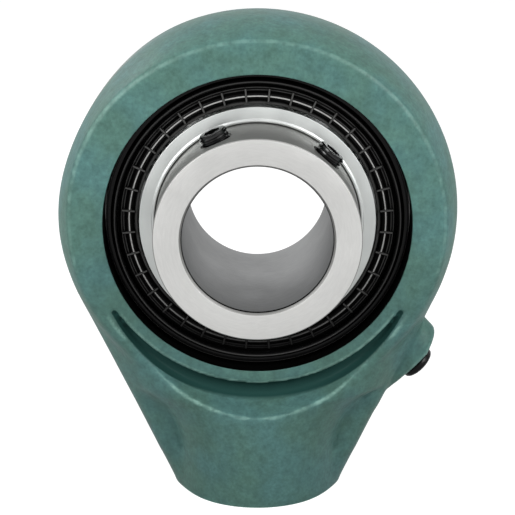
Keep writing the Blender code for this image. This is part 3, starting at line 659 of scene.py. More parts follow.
def machine_box(casting, low, high):
    """Cuts a block out of the housing, between two corners measured from its centre."""
    low, high = Vector(low), Vector(high)
    bpy.ops.object.select_all(action="DESELECT")
    middle = (low + high) / 2 + Vector((0.0, BALL_Y, AXIS_Z))
    bpy.ops.mesh.primitive_cube_add(size=1.0, location=middle)
    block = bpy.context.object
    block.scale = high - low
    combine(casting, "DIFFERENCE", settle(block), "MANIFOLD")


def machine_bore(casting):
    """Bore, its chamfers and the spherical seat between them."""
    seat = SPHERE_RADIUS + SWIVEL_GAP
    reach = math.degrees(math.acos(RING_BORE_RADIUS / seat))
    top = RING_HALF_WIDTH + 4 * BORE_CHAMFER
    mouth = [
        (RING_BORE_RADIUS + 5 * BORE_CHAMFER, top),
        (RING_BORE_RADIUS, RING_HALF_WIDTH - BORE_CHAMFER),
    ]
    outline = mouth + arc(0.0, 0.0, seat, reach, -reach, 10) + mirrored(mouth)
    combine(casting, "DIFFERENCE", along_shaft(turned("bore", outline, solid=True)), "MANIFOLD")


def machine_boss(casting):
    """Faces the boss off flat, and taps it."""
    wide = 2 * BOSS_RADIUS
    machine_box(casting, (-wide, -wide, -AXIS_Z - wide), (wide, wide, -AXIS_Z))
    end_radius = PIPE_HOLE_RADIUS - PIPE_HOLE_TAPER * PIPE_HOLE_DEPTH
    outline = [
        (PIPE_HOLE_RADIUS + 2 * PIPE_HOLE_CHAMFER, -PIPE_HOLE_CHAMFER),
        (PIPE_HOLE_RADIUS, PIPE_HOLE_CHAMFER),
    ]
    turns = int(0.8 * PIPE_HOLE_DEPTH / PIPE_THREAD_PITCH)
    for i in range(turns):
        for share, depth in ((0.1, 0.0), (0.5, PIPE_THREAD_DEPTH), (0.9, 0.0)):
            height = PIPE_HOLE_CHAMFER + (i + share) * PIPE_THREAD_PITCH
            outline.append((PIPE_HOLE_RADIUS - PIPE_HOLE_TAPER * height + depth, height))
    outline += [(end_radius, PIPE_HOLE_DEPTH), (0.2 * MM, PIPE_HOLE_POINT)]
    hole = turned("pipe_hole", outline, MIDDLE_STEPS, solid=True)
    hole.location = (0.0, BALL_Y, 0.0)
    combine(casting, "DIFFERENCE", settle(hole), "MANIFOLD")


def machine_grease_hole(casting):
    face = RING_RADIUS + GREASE_BOSS_PROUD
    radius = PLUG_STEM_RADIUS + PIECE_GAP
    outline = [(radius, face + CUT_PAST), (radius, RING_BORE_RADIUS - CUT_PAST)]
    hole = turned("grease_hole", outline, HOLE_STEPS, solid=True)
    combine(casting, "DIFFERENCE", across_shaft(hole, GREASE_ANGLE), "MANIFOLD")


def make_housing():
    ring, stem, plate, boss = ring_blank(), neck(), webs(), grease_boss()
    for side in SIDES:
        for blank in (ring, stem):
            combine(blank, "DIFFERENCE", relief_cutter(side))
    select_only(ring, stem, plate, boss)
    bpy.ops.object.join()
    soften_casting(ring)
    machine_bore(ring)
    machine_boss(ring)
    machine_grease_hole(ring)
    machine_box(ring, (-NOTCH_REACH, 0.0, -NOTCH_HALF_HEIGHT),
                (NOTCH_REACH, BOSS_RADIUS, NOTCH_HALF_HEIGHT))
    machine_box(ring, (-PIN_SLOT_HALF_WIDTH, -PIN_SLOT_HALF_LENGTH, SPHERE_RADIUS - CUT_PAST),
                (PIN_SLOT_HALF_WIDTH, PIN_SLOT_HALF_LENGTH, PIN_SLOT_TOP))
    mark_ridges(ring)
    mark_ground_flat(ring)
    shade(ring, 40.0)
    return ring


# Insert.

def paint_highlight_lines(piece, *bands, at_bottom=1.0):
    """Marks crests with a painted highlight: a pale grey line that stands for the shine of the
    lights on them. A band is its least radius and height, how strong its painted highlight
    is, and its greatest radius and height if it has one. The painted highlight may be fainter
    on the lower part of the piece, which faces away from the lights above."""
    shares = []
    for vert in piece.data.vertices:
        radius = off_shaft(vert.co)
        height = abs(vert.co.y - BALL_Y)
        share = 0.0
        for least_radius, least_height, amount, *most in bands:
            most_radius, most_height = most or (math.inf, math.inf)
            if least_radius <= radius <= most_radius and least_height <= height <= most_height:
                share = max(share, amount)
        highlight_height_share = ramp(vert.co.z - AXIS_Z, *HIGHLIGHT_HEIGHTS)
        shares.append(share * (at_bottom + (1.0 - at_bottom) * highlight_height_share))
    store(piece, "painted_highlight", shares)


def make_inner_ring():
    race = BALL_RADIUS + BALL_GAP
    reach = math.degrees(math.acos((INNER_RADIUS - PITCH_RADIUS) / race))
    chamfer = INNER_CHAMFER
    outline = [(INNER_RADIUS - chamfer, INNER_AHEAD), (INNER_RADIUS, INNER_AHEAD - chamfer)]
    outline += arc(PITCH_RADIUS, 0.0, race, reach, 360.0 - reach, 16)
    outline += [
        (INNER_RADIUS, chamfer - INNER_BEHIND),
        (INNER_RADIUS - chamfer, -INNER_BEHIND),
        (BORE_RADIUS + BORE_EDGE, -INNER_BEHIND),
        (BORE_RADIUS + BORE_LINE, BORE_EDGE - INNER_BEHIND),
        (BORE_RADIUS, BORE_EDGE + 2 * BORE_LINE - INNER_BEHIND),
        (BORE_RADIUS, INNER_AHEAD - BORE_EDGE - 2 * BORE_LINE),
        (BORE_RADIUS + BORE_LINE, INNER_AHEAD - BORE_EDGE),
        (BORE_RADIUS + BORE_EDGE, INNER_AHEAD),
    ]
    ring = along_shaft(turned("inner_ring_ground", outline))
    for angle in SCREW_ANGLES:
        radius = SCREW_RADIUS + PIECE_GAP
        outline = [
            (radius + SCREW_HOLE_CHAMFER, INNER_RADIUS + 0.8 * SCREW_HOLE_CHAMFER),
            (radius, INNER_RADIUS - 0.2 * SCREW_HOLE_CHAMFER),
            (radius, BORE_RADIUS / 2),
        ]
        hole = turned("screw_hole", outline, SMALL_STEPS, solid=True)
        combine(ring, "DIFFERENCE", across_shaft(hole, angle, inner_low.y + SCREW_FROM_END))
    bevel(ring, INNER_RING_EDGE)
    shade(ring)
    return ring


def make_outer_ring():
    reach = math.degrees(math.acos(RING_LAND_RADIUS / SPHERE_RADIUS))
    groove_edge = math.degrees(math.asin(GROOVE_HALF_WIDTH / SPHERE_RADIUS))
    outside = [(RING_LAND_RADIUS, OUTER_HALF_WIDTH)]
    outside += arc(0.0, 0.0, SPHERE_RADIUS, reach, groove_edge, 6)
    outside.append((SPHERE_RADIUS - GROOVE_DEPTH, GROOVE_HALF_WIDTH))
    race = math.degrees(math.acos((SHOULDER_RADIUS - PITCH_RADIUS) / (BALL_RADIUS + BALL_GAP)))
    seat = [
        (SHOULDER_RADIUS, OUTER_HALF_WIDTH - SEAL_SEAT_DEPTH),
        (SEAL_SEAT_RADIUS, OUTER_HALF_WIDTH - SEAL_SEAT_DEPTH),
        (SEAL_SEAT_RADIUS, OUTER_HALF_WIDTH),
    ]
    raceway = arc(PITCH_RADIUS, 0.0, BALL_RADIUS + BALL_GAP, -race, race, 16)
    outline = outside + mirrored(outside) + mirrored(seat) + raceway + seat
    ring = along_shaft(turned("outer_ring_blued", outline))
    bevel(ring, OUTER_RING_EDGE, 3)
    # A faint painted highlight along the outer edge of the face.
    paint_highlight_lines(ring, (RING_LAND_RADIUS - 0.2 * MM, OUTER_HALF_WIDTH - 0.2 * MM, 0.10))
    shade(ring)
    return ring


def make_shroud(side):
    """A pressed band with a rolled edge."""
    outer = SEAL_SEAT_RADIUS - PIECE_GAP
    inner = outer - SHROUD_WALL
    crest = OUTER_HALF_WIDTH + SHROUD_PROUD - SHROUD_WALL / 2
    foot = OUTER_HALF_WIDTH - SEAL_SEAT_DEPTH + PIECE_GAP
    outline = arc((outer + inner) / 2, crest, SHROUD_WALL / 2, 180.0, 0.0, 8)
    outline += [(outer, foot), (inner, foot)]
    band = along_shaft(turned(f"{side}_shroud_rolled", outline), side)
    # A painted highlight along the rolled crest.
    paint_highlight_lines(band, (inner, crest + 0.47 * SHROUD_WALL, 0.11))
    shade(band)
    return band


def make_seal(side):
    """A moulded rubber ring whose round bead is crossed by fine ribs."""
    outer = SEAL_SEAT_RADIUS - SHROUD_WALL - 2 * PIECE_GAP
    front = SEAL_BACK + SEAL_THICKNESS
    bead_in = BEAD_RADIUS - BEAD_HALF_WIDTH
    rise = BEAD_CREST - front
    bead_curve = (BEAD_HALF_WIDTH ** 2 + rise ** 2) / (2 * rise)
    spread = math.degrees(math.asin(BEAD_HALF_WIDTH / bead_curve))
    bead = arc(BEAD_RADIUS, BEAD_CREST - bead_curve, bead_curve, 90.0 + spread, 90.0 - spread, 16)
    outline = [
        (outer - 0.35 * MM, front + 0.35 * MM),
        (outer, front + 0.1 * MM),
        (outer, SEAL_BACK),
        (SEAL_INNER_RADIUS, SEAL_BACK),
        (SEAL_INNER_RADIUS, SEAL_LIP_CREST - SEAL_EDGE),
        (SEAL_INNER_RADIUS + SEAL_EDGE, SEAL_LIP_CREST),
        (SEAL_INNER_RADIUS + SEAL_LIP_WIDTH, SEAL_LIP_CREST),
        (bead_in - 0.1 * MM, front),
    ] + bead
    for line in SEAL_LINES:
        outline += [(line - SEAL_EDGE, front), (line - 0.1 * MM, front + SEAL_LINE_HEIGHT)]
        outline += [(line + 0.1 * MM, front + SEAL_LINE_HEIGHT), (line + SEAL_EDGE, front)]
    seal = turned(f"{side}_seal_moulded", outline)
    bpy.ops.object.select_all(action="DESELECT")
    middle = (RIB_INNER_END + RIB_OUTER_END) / 2
    bpy.ops.mesh.primitive_cube_add(size=1.0, location=(0.0, middle, (SEAL_BACK + RIB_CREST) / 2))
    rib = bpy.context.object
    rib.scale = (RIB_WIDTH, RIB_OUTER_END - RIB_INNER_END, RIB_CREST - SEAL_BACK)
    settle(rib)
    bevel(rib, 0.2 * MM, 2)
    ribs = []
    for number in range(RIB_COUNT):
        copy = rib.copy()
        copy.data = rib.data.copy()
        bpy.context.collection.objects.link(copy)
        copy.rotation_euler = (0.0, 0.0, math.tau * (number + 0.5) / RIB_COUNT)
        ribs.append(copy)
    bpy.data.objects.remove(rib, do_unlink=True)
    select_only(*ribs)
    bpy.ops.object.join()
    settle(ribs[0])
    combine(seal, "UNION", ribs[0])
    along_shaft(seal, side)
    # Painted highlights on the bead's crest, the ribs, the lip and the fine lines, faint at the bottom.
    bead_top = (
        BEAD_RADIUS - 0.2 * MM, BEAD_CREST - 0.12 * MM, 1.0,
        BEAD_RADIUS + 0.2 * MM, BEAD_CREST + 0.02 * MM,
    )
    rib_tops = (RIB_INNER_END, RIB_CREST - 0.02 * MM, 0.14)
    lip_top = (
        SEAL_INNER_RADIUS, SEAL_LIP_CREST - 0.01 * MM, 0.07,
        SEAL_INNER_RADIUS + SEAL_LIP_WIDTH + 0.05 * MM, SEAL_LIP_CREST + 0.01 * MM,
    )
    line_tops = (
        SEAL_LINES[0] - 0.2 * MM, front + 0.9 * SEAL_LINE_HEIGHT, 0.08,
        outer, front + 1.1 * SEAL_LINE_HEIGHT,
    )
    paint_highlight_lines(seal, bead_top, rib_tops, lip_top, line_tops, at_bottom=0.12)
    shade(seal, 35.0)
    return seal


def make_flinger(side):
    """A pressed washer on a sleeve, with its inner edge rolled forward."""
    inner = INNER_RADIUS + PIECE_GAP
    back = FLINGER_FACE - FLINGER_SHEET
    outline = [
        (FLINGER_RADIUS, FLINGER_FACE),
        (FLINGER_RADIUS, back),
        (inner + FLINGER_SHEET, back),
        (inner + FLINGER_SHEET, back - FLINGER_SLEEVE),
        (inner, back - FLINGER_SLEEVE),
        (inner, FLINGER_FACE + FLINGER_ROLL),
        (inner + 2 * FLINGER_ROLL, FLINGER_FACE + FLINGER_ROLL),
        (inner + 3 * FLINGER_ROLL, FLINGER_FACE),
    ]
    washer = along_shaft(turned(f"{side}_flinger_pressed", outline), side)
    bevel(washer, FLINGER_EDGE)
    shade(washer)
    return washer


def make_set_screw(number, angle):
    """A threaded blank: one helical ridge round a core, cut to length, with a hexagon socket."""
    low = BORE_RADIUS + SCREW_OFF_BORE
    high = low + SCREW_LENGTH
    root = SCREW_RADIUS - THREAD_DEPTH
    start = low - 2 * SCREW_PITCH
    turns = math.ceil((high - low) / SCREW_PITCH) + 4
    bpy.ops.object.select_all(action="DESELECT")
    bpy.ops.mesh.primitive_circle_add(vertices=3, radius=0.55 * SCREW_PITCH, fill_type="NOTHING")
    ridge = named(bpy.context.object, "ridge")
    corners = [
        (SCREW_RADIUS, 0.0, start),
        (root - 0.2 * MM, 0.0, start - 0.47 * SCREW_PITCH),
        (root - 0.2 * MM, 0.0, start + 0.47 * SCREW_PITCH),
    ]
    for vert, corner in zip(ridge.data.vertices, corners):
        vert.co = corner
    apply_modifier(
        ridge, "SCREW", steps=48, render_steps=48, iterations=turns,
        screw_offset=SCREW_PITCH, use_merge_vertices=False, use_normal_calculate=True,
    )
    bpy.ops.object.mode_set(mode="EDIT")
    for _ in range(2):  # one open end of the ridge, then the other
        bpy.ops.mesh.select_all(action="DESELECT")
        bpy.ops.mesh.select_non_manifold()
        bpy.ops.mesh.edge_face_add()
    close_mesh()
    outline = [(root, start - SCREW_PITCH), (root, high + 3 * SCREW_PITCH)]
    core = turned("core", outline, HOLE_STEPS, solid=True)
    combine(core, "UNION", ridge)
    crest = SCREW_RADIUS + 0.01 * MM
    outline = [
        (SCREW_RADIUS - SCREW_CHAMFER, high),
        (crest, high - SCREW_CHAMFER),
        (crest, low + 2 * SCREW_CHAMFER),
        (CUP_RADIUS, low),
        (CUP_HOLLOW_RADIUS, low + CUP_HOLLOW_DEPTH),
    ]
    blank = turned(f"set_screw_{number}_threaded", outline, SMALL_STEPS, solid=True)
    combine(blank, "INTERSECT", core)
    corner = SOCKET_FLATS / (2 * math.cos(math.radians(30.0)))
    floor = high - SOCKET_DEPTH
    outline = [
        (corner, high + 1 * MM),
        (corner, floor),
        (SOCKET_POINT_RADIUS, floor - SOCKET_POINT_DEPTH),
    ]
    combine(blank, "DIFFERENCE", turned("key", outline, 6, solid=True))
    across_shaft(blank, angle, inner_low.y + SCREW_FROM_END)
    shade(blank, 40.0)
    return blank


def make_grease_plug():
    """A push-in button: a low dome on a plain stem with a chamfered tip."""
    seat = RING_RADIUS + GREASE_BOSS_PROUD + PIECE_GAP
    dome = PLUG_HEAD_HEIGHT - PLUG_RIM
    outline = []
    for turn in (86.0, 70.0, 55.0, 40.0, 25.0, 10.0, 0.0):
        angle = math.radians(turn)
        height = seat + PLUG_RIM + dome * math.sin(angle)
        outline.append((PLUG_HEAD_RADIUS * math.cos(angle), height))
    tip = seat - PLUG_STEM_LENGTH
    outline += [
        (PLUG_HEAD_RADIUS, seat),
        (PLUG_STEM_RADIUS, seat),
        (PLUG_STEM_RADIUS, tip + PLUG_TIP_CHAMFER),
        (PLUG_STEM_RADIUS - PLUG_TIP_CHAMFER, tip),
    ]
    plug = turned("grease_plug_moulded", outline, SMALL_STEPS, solid=True)
    across_shaft(plug, GREASE_ANGLE)
    bevel(plug, PLUG_EDGE)
    shade(plug)
    return plug


def make_ball(number):
    bpy.ops.object.select_all(action="DESELECT")
    bpy.ops.mesh.primitive_ico_sphere_add(subdivisions=4, radius=BALL_RADIUS)
    ball = named(bpy.context.object, f"ball_{number}_polished")
    low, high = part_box(f"ball_{number}")
    ball.location = (low + high) / 2
    settle(ball)
    shade(ball)
    return ball


# Materials.

def linear(hex_colour):
    """A material colour from its sRGB hex value."""
    channels = []
    for i in (1, 3, 5):
        value = int(hex_colour[i:i + 2], 16) / 255
        channels.append(value / 12.92 if value <= 0.04045 else ((value + 0.055) / 1.055) ** 2.4)
    return (*channels, 1.0)


def add_node(tree, kind, settings=(), links=()):
    """Adds a node, with values for its inputs or properties, and links from other nodes' outputs."""
    node = tree.nodes.new(kind)
    for key, value in dict(settings).items():
        if isinstance(key, str) and hasattr(node, key) and key not in node.inputs:
            setattr(node, key, value)
        else:
            node.inputs[key].default_value = value
    for key, source in dict(links).items():
        tree.links.new(source, node.inputs[key])
    return node


def new_material(name, **settings):
    """A Principled BSDF whose inputs are given by name, with spaces as underscores."""
    material = bpy.data.materials.new(name)
    material.use_nodes = True
    tree = material.node_tree
    shader = tree.nodes["Principled BSDF"]
    for key, value in settings.items():
        shader.inputs[key.replace("_", " ")].default_value = value
    return material, tree, shader


def join_surface(tree, shader, colour, gloss, relief, strength, depth):
    """Leads a colour, a roughness and a fine relief to the shader."""
    bump = add_node(tree, "ShaderNodeBump", {"Strength": strength, "Distance": depth}, {"Height": relief})
    tree.links.new(colour, shader.inputs["Base Color"])
    tree.links.new(gloss, shader.inputs["Roughness"])
    tree.links.new(bump.outputs["Normal"], shader.inputs["Normal"])
    return bump


def cast_iron_enamel():
    """Machine enamel sprayed on sand-cast iron: a satin coat over the sand's grain. Its colour
    carries painted shade: darker toward the foot, and dark in the hollows and in the groove
    under the lip, where it stands for the lip's shadow. It lies pale in specks along the
    ridges, partly thin paint and partly painted highlight, and lets grey iron through where
    the casting was ground."""
    material, tree, shader = new_material(
        "cast_iron_enamel", Specular_IOR_Level=0.16, Coat_Weight=0.05, Coat_Roughness=0.25
    )
    place = add_node(tree, "ShaderNodeTexCoord").outputs["Object"]
    patches, blots, grain = (
        add_node(tree, "ShaderNodeTexNoise", {"Scale": 1 / size, "Detail": 3.0},
                 {"Vector": place}).outputs["Fac"]
        for size in (PAINT_PATCH, PAINT_BLOT, SAND_GRAIN)
    )

    # Green to blue-green in patches, mottled by blots and grain, and darker toward the foot as painted
    # shade.
    patch_share = add_node(tree, "ShaderNodeMapRange", {"From Min": 0.40, "From Max": 0.62}, {0: patches})
    tint = add_node(tree, "ShaderNodeMix",
                    {"data_type": "RGBA", COLOUR_A: linear("#50736A"), COLOUR_B: linear("#507673")},
                    {"Factor": patch_share.outputs["Result"]})
    blot_level = add_node(tree, "ShaderNodeMapRange",
                          {"From Min": 0.3, "From Max": 0.7, "To Min": 0.86, "To Max": 1.12}, {0: blots})
    grain_level = add_node(tree, "ShaderNodeMapRange",
                           {"From Min": 0.3, "From Max": 0.7, "To Min": 0.88, "To Max": 1.14}, {0: grain})
    fine_level = add_node(tree, "ShaderNodeMath", {"operation": "MULTIPLY"},
                          {0: blot_level.outputs["Result"], 1: grain_level.outputs["Result"]})
    height = add_node(tree, "ShaderNodeSeparateXYZ", links={0: place}).outputs["Z"]
    # Painted shade: the colour is darkened toward the foot.
    foot_shade_level = add_node(tree, "ShaderNodeMapRange",
                         {"From Max": 75 * MM, "To Min": 0.76}, {0: height})
    level = add_node(tree, "ShaderNodeMath", {"operation": "MULTIPLY"},
                     {0: fine_level.outputs[0], 1: foot_shade_level.outputs["Result"]})
    mottled = add_node(tree, "ShaderNodeVectorMath", {"operation": "SCALE"},
                       {0: tint.outputs[MIXED], "Scale": level.outputs["Value"]})

    # Painted shade: dark in the hollows and in the groove under the lip, and matt there.
    ridge = add_node(tree, "ShaderNodeAttribute", {"attribute_name": "ridge"}).outputs["Fac"]
    hollow = add_node(tree, "ShaderNodeMapRange", {"From Min": -0.15, "From Max": -1.1},
                      {0: ridge}).outputs["Result"]
    matt = add_node(tree, "ShaderNodeMapRange", {"To Min": 0.45, "To Max": 0.85}, {0: hollow})
    shaded_colour = add_node(tree, "ShaderNodeMix", {"data_type": "RGBA", COLOUR_B: linear("#183B37")},
                      {"Factor": hollow, COLOUR_A: mottled.outputs[0]})

    # Pale in specks along the ridges, partly thin paint and partly painted highlight, and grey on the
    # ground flat.
    crest = add_node(tree, "ShaderNodeMapRange",
                     {"From Min": 0.45, "From Max": 1.05, "To Max": 0.85}, {0: ridge})
    speckle = add_node(tree, "ShaderNodeMapRange",
                       {"From Min": 0.36, "From Max": 0.60, "To Min": 0.3}, {0: blots})
    # Pale specks on the ridges: partly worn paint, partly painted highlight.
    scuff_and_highlight = add_node(tree, "ShaderNodeMath", {"operation": "MULTIPLY"},
                     {0: crest.outputs["Result"], 1: speckle.outputs["Result"]})
    scuffed_and_highlighted = add_node(tree, "ShaderNodeMix", {"data_type": "RGBA", COLOUR_B: linear("#8DB3A8")},
                       {"Factor": scuff_and_highlight.outputs["Value"], COLOUR_A: shaded_colour.outputs[MIXED]})
    ground = add_node(tree, "ShaderNodeAttribute", {"attribute_name": "ground"})
    thin = add_node(tree, "ShaderNodeMapRange", {"To Max": 0.6}, {0: ground.outputs["Fac"]})
    colour = add_node(tree, "ShaderNodeMix", {"data_type": "RGBA", COLOUR_B: linear("#949A94")},
                      {"Factor": thin.outputs["Result"], COLOUR_A: scuffed_and_highlighted.outputs[MIXED]})

    lumps = add_node(tree, "ShaderNodeBump", {"Strength": 0.35, "Distance": 0.35 * MM}, {"Height": blots})
    pores = join_surface(tree, shader, colour.outputs[MIXED], matt.outputs["Result"], grain,
                         0.35, 0.12 * MM)
    tree.links.new(lumps.outputs["Normal"], pores.inputs["Normal"])
    return material


def ground_steel(name, colours, roughness, line_depth):
    """Bearing steel ground between centres: fine lines run round the shaft axis. They are
    drawn coarser than the real ones, which would not show."""
    material, tree, shader = new_material(name, Metallic=1.0)
    place = add_node(tree, "ShaderNodeTexCoord").outputs["Object"]
    centred = add_node(tree, "ShaderNodeMapping", {"Location": (0.0, 0.0, -AXIS_Z)}, {"Vector": place})
    parts = add_node(tree, "ShaderNodeSeparateXYZ", links={0: centred.outputs[0]})
    flat = add_node(tree, "ShaderNodeCombineXYZ", links={"X": parts.outputs["X"], "Y": parts.outputs["Z"]})
    radius = add_node(tree, "ShaderNodeVectorMath", {"operation": "LENGTH"}, {0: flat.outputs[0]})
    turn = add_node(tree, "ShaderNodeMath", {"operation": "ARCTAN2"},
                    {0: parts.outputs["X"], 1: parts.outputs["Z"]})
    slow = add_node(tree, "ShaderNodeMath", {"operation": "MULTIPLY", 1: 0.004}, {0: turn.outputs[0]})
    wound = add_node(tree, "ShaderNodeCombineXYZ",
                     links={"X": radius.outputs["Value"], "Y": parts.outputs["Y"], "Z": slow.outputs[0]})
    lines = add_node(tree, "ShaderNodeTexNoise", {"Scale": TOOL_LINES, "Detail": 2.0},
                     {"Vector": wound.outputs[0]}).outputs["Fac"]
    cloud = add_node(tree, "ShaderNodeTexNoise", {"Scale": OIL_CLOUDS, "Detail": 3.0}, {"Vector": place})
    bright, dull = colours
    tint = add_node(tree, "ShaderNodeMix",
                    {"data_type": "RGBA", COLOUR_A: linear(bright), COLOUR_B: linear(dull)},
                    {"Factor": lines})
    gloss = add_node(
        tree, "ShaderNodeMapRange",
        {"From Min": 0.3, "From Max": 0.7, "To Min": roughness - 0.04, "To Max": roughness + 0.06},
        {0: cloud.outputs["Fac"]},
    )
    join_surface(tree, shader, tint.outputs[MIXED], gloss.outputs["Result"], lines, 0.3, line_depth)
    return material


def speckled_finish(name, colours, roughness, grains, grain_depth, **settings):
    """A finish with a fine even grain: moulded rubber or plastic, oxide, or a tumbled pressing.
    The grain is drawn coarser than the real one, which would not show."""
    material, tree, shader = new_material(name, **settings)
    place = add_node(tree, "ShaderNodeTexCoord").outputs["Object"]
    grain = add_node(tree, "ShaderNodeTexNoise", {"Scale": grains, "Detail": 4.0}, {"Vector": place})
    cloud = add_node(tree, "ShaderNodeTexNoise", {"Scale": HANDLING_CLOUDS, "Detail": 2.0},
                     {"Vector": place}).outputs["Fac"]
    dark, light = colours
    tint = add_node(tree, "ShaderNodeMix",
                    {"data_type": "RGBA", COLOUR_A: linear(dark), COLOUR_B: linear(light)},
                    {"Factor": cloud})
    # Painted highlight: a pale grey line, where a piece stores it on its crests.
    painted_highlight = add_node(tree, "ShaderNodeAttribute", {"attribute_name": "painted_highlight"})
    altered = add_node(tree, "ShaderNodeMix", {"data_type": "RGBA", COLOUR_B: linear("#C4C4C2")},
                    {"Factor": painted_highlight.outputs["Fac"], COLOUR_A: tint.outputs[MIXED]})
    gloss = add_node(
        tree, "ShaderNodeMapRange",
        {"From Min": 0.3, "From Max": 0.7, "To Min": roughness - 0.05, "To Max": roughness + 0.05},
        {0: cloud},
    )
    join_surface(tree, shader, altered.outputs[MIXED], gloss.outputs["Result"], grain.outputs["Fac"],
                 0.25, grain_depth)
    return material


ENAMEL = cast_iron_enamel()
# Bored and tapped iron under old oil: dark, with a low shine.
MACHINED_IRON = ground_steel("oiled_machined_iron", ("#1C1C1B", "#121211"), 0.38, 0.01 * MM)
# The ground end face: bright, with fine rings.
RING_STEEL = ground_steel("ground_bearing_steel", ("#E0E0DE", "#D2D2D0"), 0.36, 0.004 * MM)
# Left as turned: rougher, and painted darker as shade and darker reflection on the outside and the
# chamfers.
TURNED_STEEL_PAINTED_DARKER = ground_steel("turned_bearing_steel_painted_darker", ("#A2A2A0", "#90908E"), 0.52, 0.008 * MM)
# Bored to size: an even grey that mirrors little.
BORE_STEEL = ground_steel("bored_bearing_steel", ("#9A9B9B", "#868788"), 0.5, 0.008 * MM)
# Sheet, pressed and tumbled: pale, with soft reflections that have no direction.
PRESSED_STEEL = speckled_finish("pressed_bright_steel", ("#B6B9B8", "#C8CBC9"), 0.42,
                                1.5 / MM, 0.01 * MM, Metallic=1.0)
# Lapped balls: mirror bright.
BALL_STEEL = speckled_finish("polished_chrome_steel", ("#D0D0CE", "#DADAD8"), 0.08,
                             3.0 / MM, 0.001 * MM, Metallic=1.0)
# Blackened and oiled: black, with a small sharp shine on the thread.
SCREW_STEEL = speckled_finish("black_oxide_screw_steel", ("#060606", "#0C0C0D"), 0.2,
                              1.8 / MM, 0.01 * MM, Specular_IOR_Level=0.35)
# The same oxide wiped dry: nearly no shine, with pale grey painted highlight lines on its crests.
BLACK_STEEL = speckled_finish("black_oxide_steel", ("#060606", "#0B0B0C"), 0.24,
                              1.8 / MM, 0.01 * MM, Specular_IOR_Level=0.16)
# Smooth from the mould: deep black, with pale grey painted highlight lines on the bead, ribs, lip and fine
# lines.
RUBBER = speckled_finish("moulded_nitrile", ("#040404", "#080808"), 0.20,
                         1.2 / MM, 0.006 * MM, Specular_IOR_Level=0.08)
# Moulded: black, softly glossy, with a faint orange-peel skin.
PLASTIC = speckled_finish("moulded_polythene", ("#050505", "#0A0A0B"), 0.26,
                          0.9 / MM, 0.015 * MM, Specular_IOR_Level=0.15)


def dull_and_shade_turned_faces(ring):
    """All but the end faces was turned, not ground, and keeps a dull oily grey, painted darker
    still as shade and darker reflection on the outside and the chamfers. A near-black painted
    shade lies in the fine step behind the bore's chamfer."""
    for material in (TURNED_STEEL_PAINTED_DARKER, BORE_STEEL, MACHINED_IRON):
        ring.data.materials.append(material)
    for face in ring.data.polygons:
        radius = off_shaft(face.center)
        if radius > INNER_RADIUS - INNER_CHAMFER:
            face.material_index = 1
        elif radius < BORE_RADIUS + 0.02 * MM:
            face.material_index = 2
        elif radius < BORE_RADIUS + BORE_LINE:
            # Painted shade: the near-black iron darkens the fine step behind the bore's chamfer.
            face.material_index = 3
        elif radius < BORE_RADIUS + BORE_EDGE:
            face.material_index = 1


def bare_machined_faces(casting):
    """The seat, the bore and the tapped hole stay bare where the paint was masked off."""
    casting.data.materials.append(MACHINED_IRON)
    for face in casting.data.polygons:
        middle = face.center - Vector((0.0, BALL_Y, 0.0))
        off_boss = math.hypot(middle.x, middle.y)
        between_faces = abs(middle.y) < RING_HALF_WIDTH - 2 * BORE_CHAMFER
        in_bore = off_shaft(middle) < RING_BORE_RADIUS + BORE_MASK and between_faces
        in_thread = off_boss < PIPE_HOLE_RADIUS + THREAD_MASK and THREAD_START < middle.z < PIPE_HOLE_DEPTH
        in_point = off_boss < 0.9 * PIPE_HOLE_RADIUS and PIPE_HOLE_DEPTH <= middle.z < PIPE_HOLE_POINT
        if in_bore or in_thread or (in_point and face.normal.z < 0.0):
            face.material_index = 1


# Dressing the frame.

housing = finish_piece(make_housing(), "housing", "painted_iron", ENAMEL, "housing")
bare_machined_faces(housing)
finish_piece(make_grease_plug(), "housing", "plug_plastic", PLASTIC, "grease_plug")
finish_piece(make_outer_ring(), "outer_race", "outer_ring_steel", BLACK_STEEL, "outer_ring")
inner_ring = finish_piece(make_inner_ring(), "inner_race", "inner_ring_steel", RING_STEEL, "inner_ring")
dull_and_shade_turned_faces(inner_ring)
for side_name in SIDES:
    finish_piece(make_shroud(side_name), "outer_race", "black_steel", BLACK_STEEL, f"{side_name}_shroud")
    finish_piece(make_seal(side_name), "outer_race", "seal_rubber", RUBBER, f"{side_name}_seal")
    finish_piece(make_flinger(side_name), "inner_race", "pressed_steel", PRESSED_STEEL,
                 f"{side_name}_flinger")
for screw_number, screw_angle in enumerate(SCREW_ANGLES, 1):
    screw_name = f"set_screw_{screw_number}"
    screw = make_set_screw(screw_number, screw_angle)
    finish_piece(screw, screw_name, "black_steel", SCREW_STEEL, screw_name)
for ball_number in range(1, BALL_COUNT + 1):
    ball_name = f"ball_{ball_number}"
    finish_piece(make_ball(ball_number), ball_name, "ball_steel", BALL_STEEL, ball_name)

kept_nodes = {"anti_rotation_pin": BLACK_STEEL}
kept_nodes.update({f"{side}_cage_half": PRESSED_STEEL for side in SIDES})
kept_nodes.update({f"cage_rivet_{number}": PRESSED_STEEL for number in range(1, BALL_COUNT + 1)})
for node_name, finish_material in kept_nodes.items():
    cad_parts[node_name].data.materials.clear()
    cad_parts[node_name].data.materials.append(finish_material)


# Stage, lights and camera.

def seen_white(tree):
    """1 for the rays that see the plain white surroundings: the camera's, and those that
    gloss or glass sends on."""
    path = add_node(tree, "ShaderNodeLightPath")
    direct = add_node(tree, "ShaderNodeMath", {"operation": "MAXIMUM"},
                      {0: path.outputs["Is Camera Ray"], 1: path.outputs["Is Glossy Ray"]})
    return add_node(tree, "ShaderNodeMath", {"operation": "MAXIMUM"},
                    {0: direct.outputs[0], 1: path.outputs["Is Transmission Ray"]}).outputs[0]


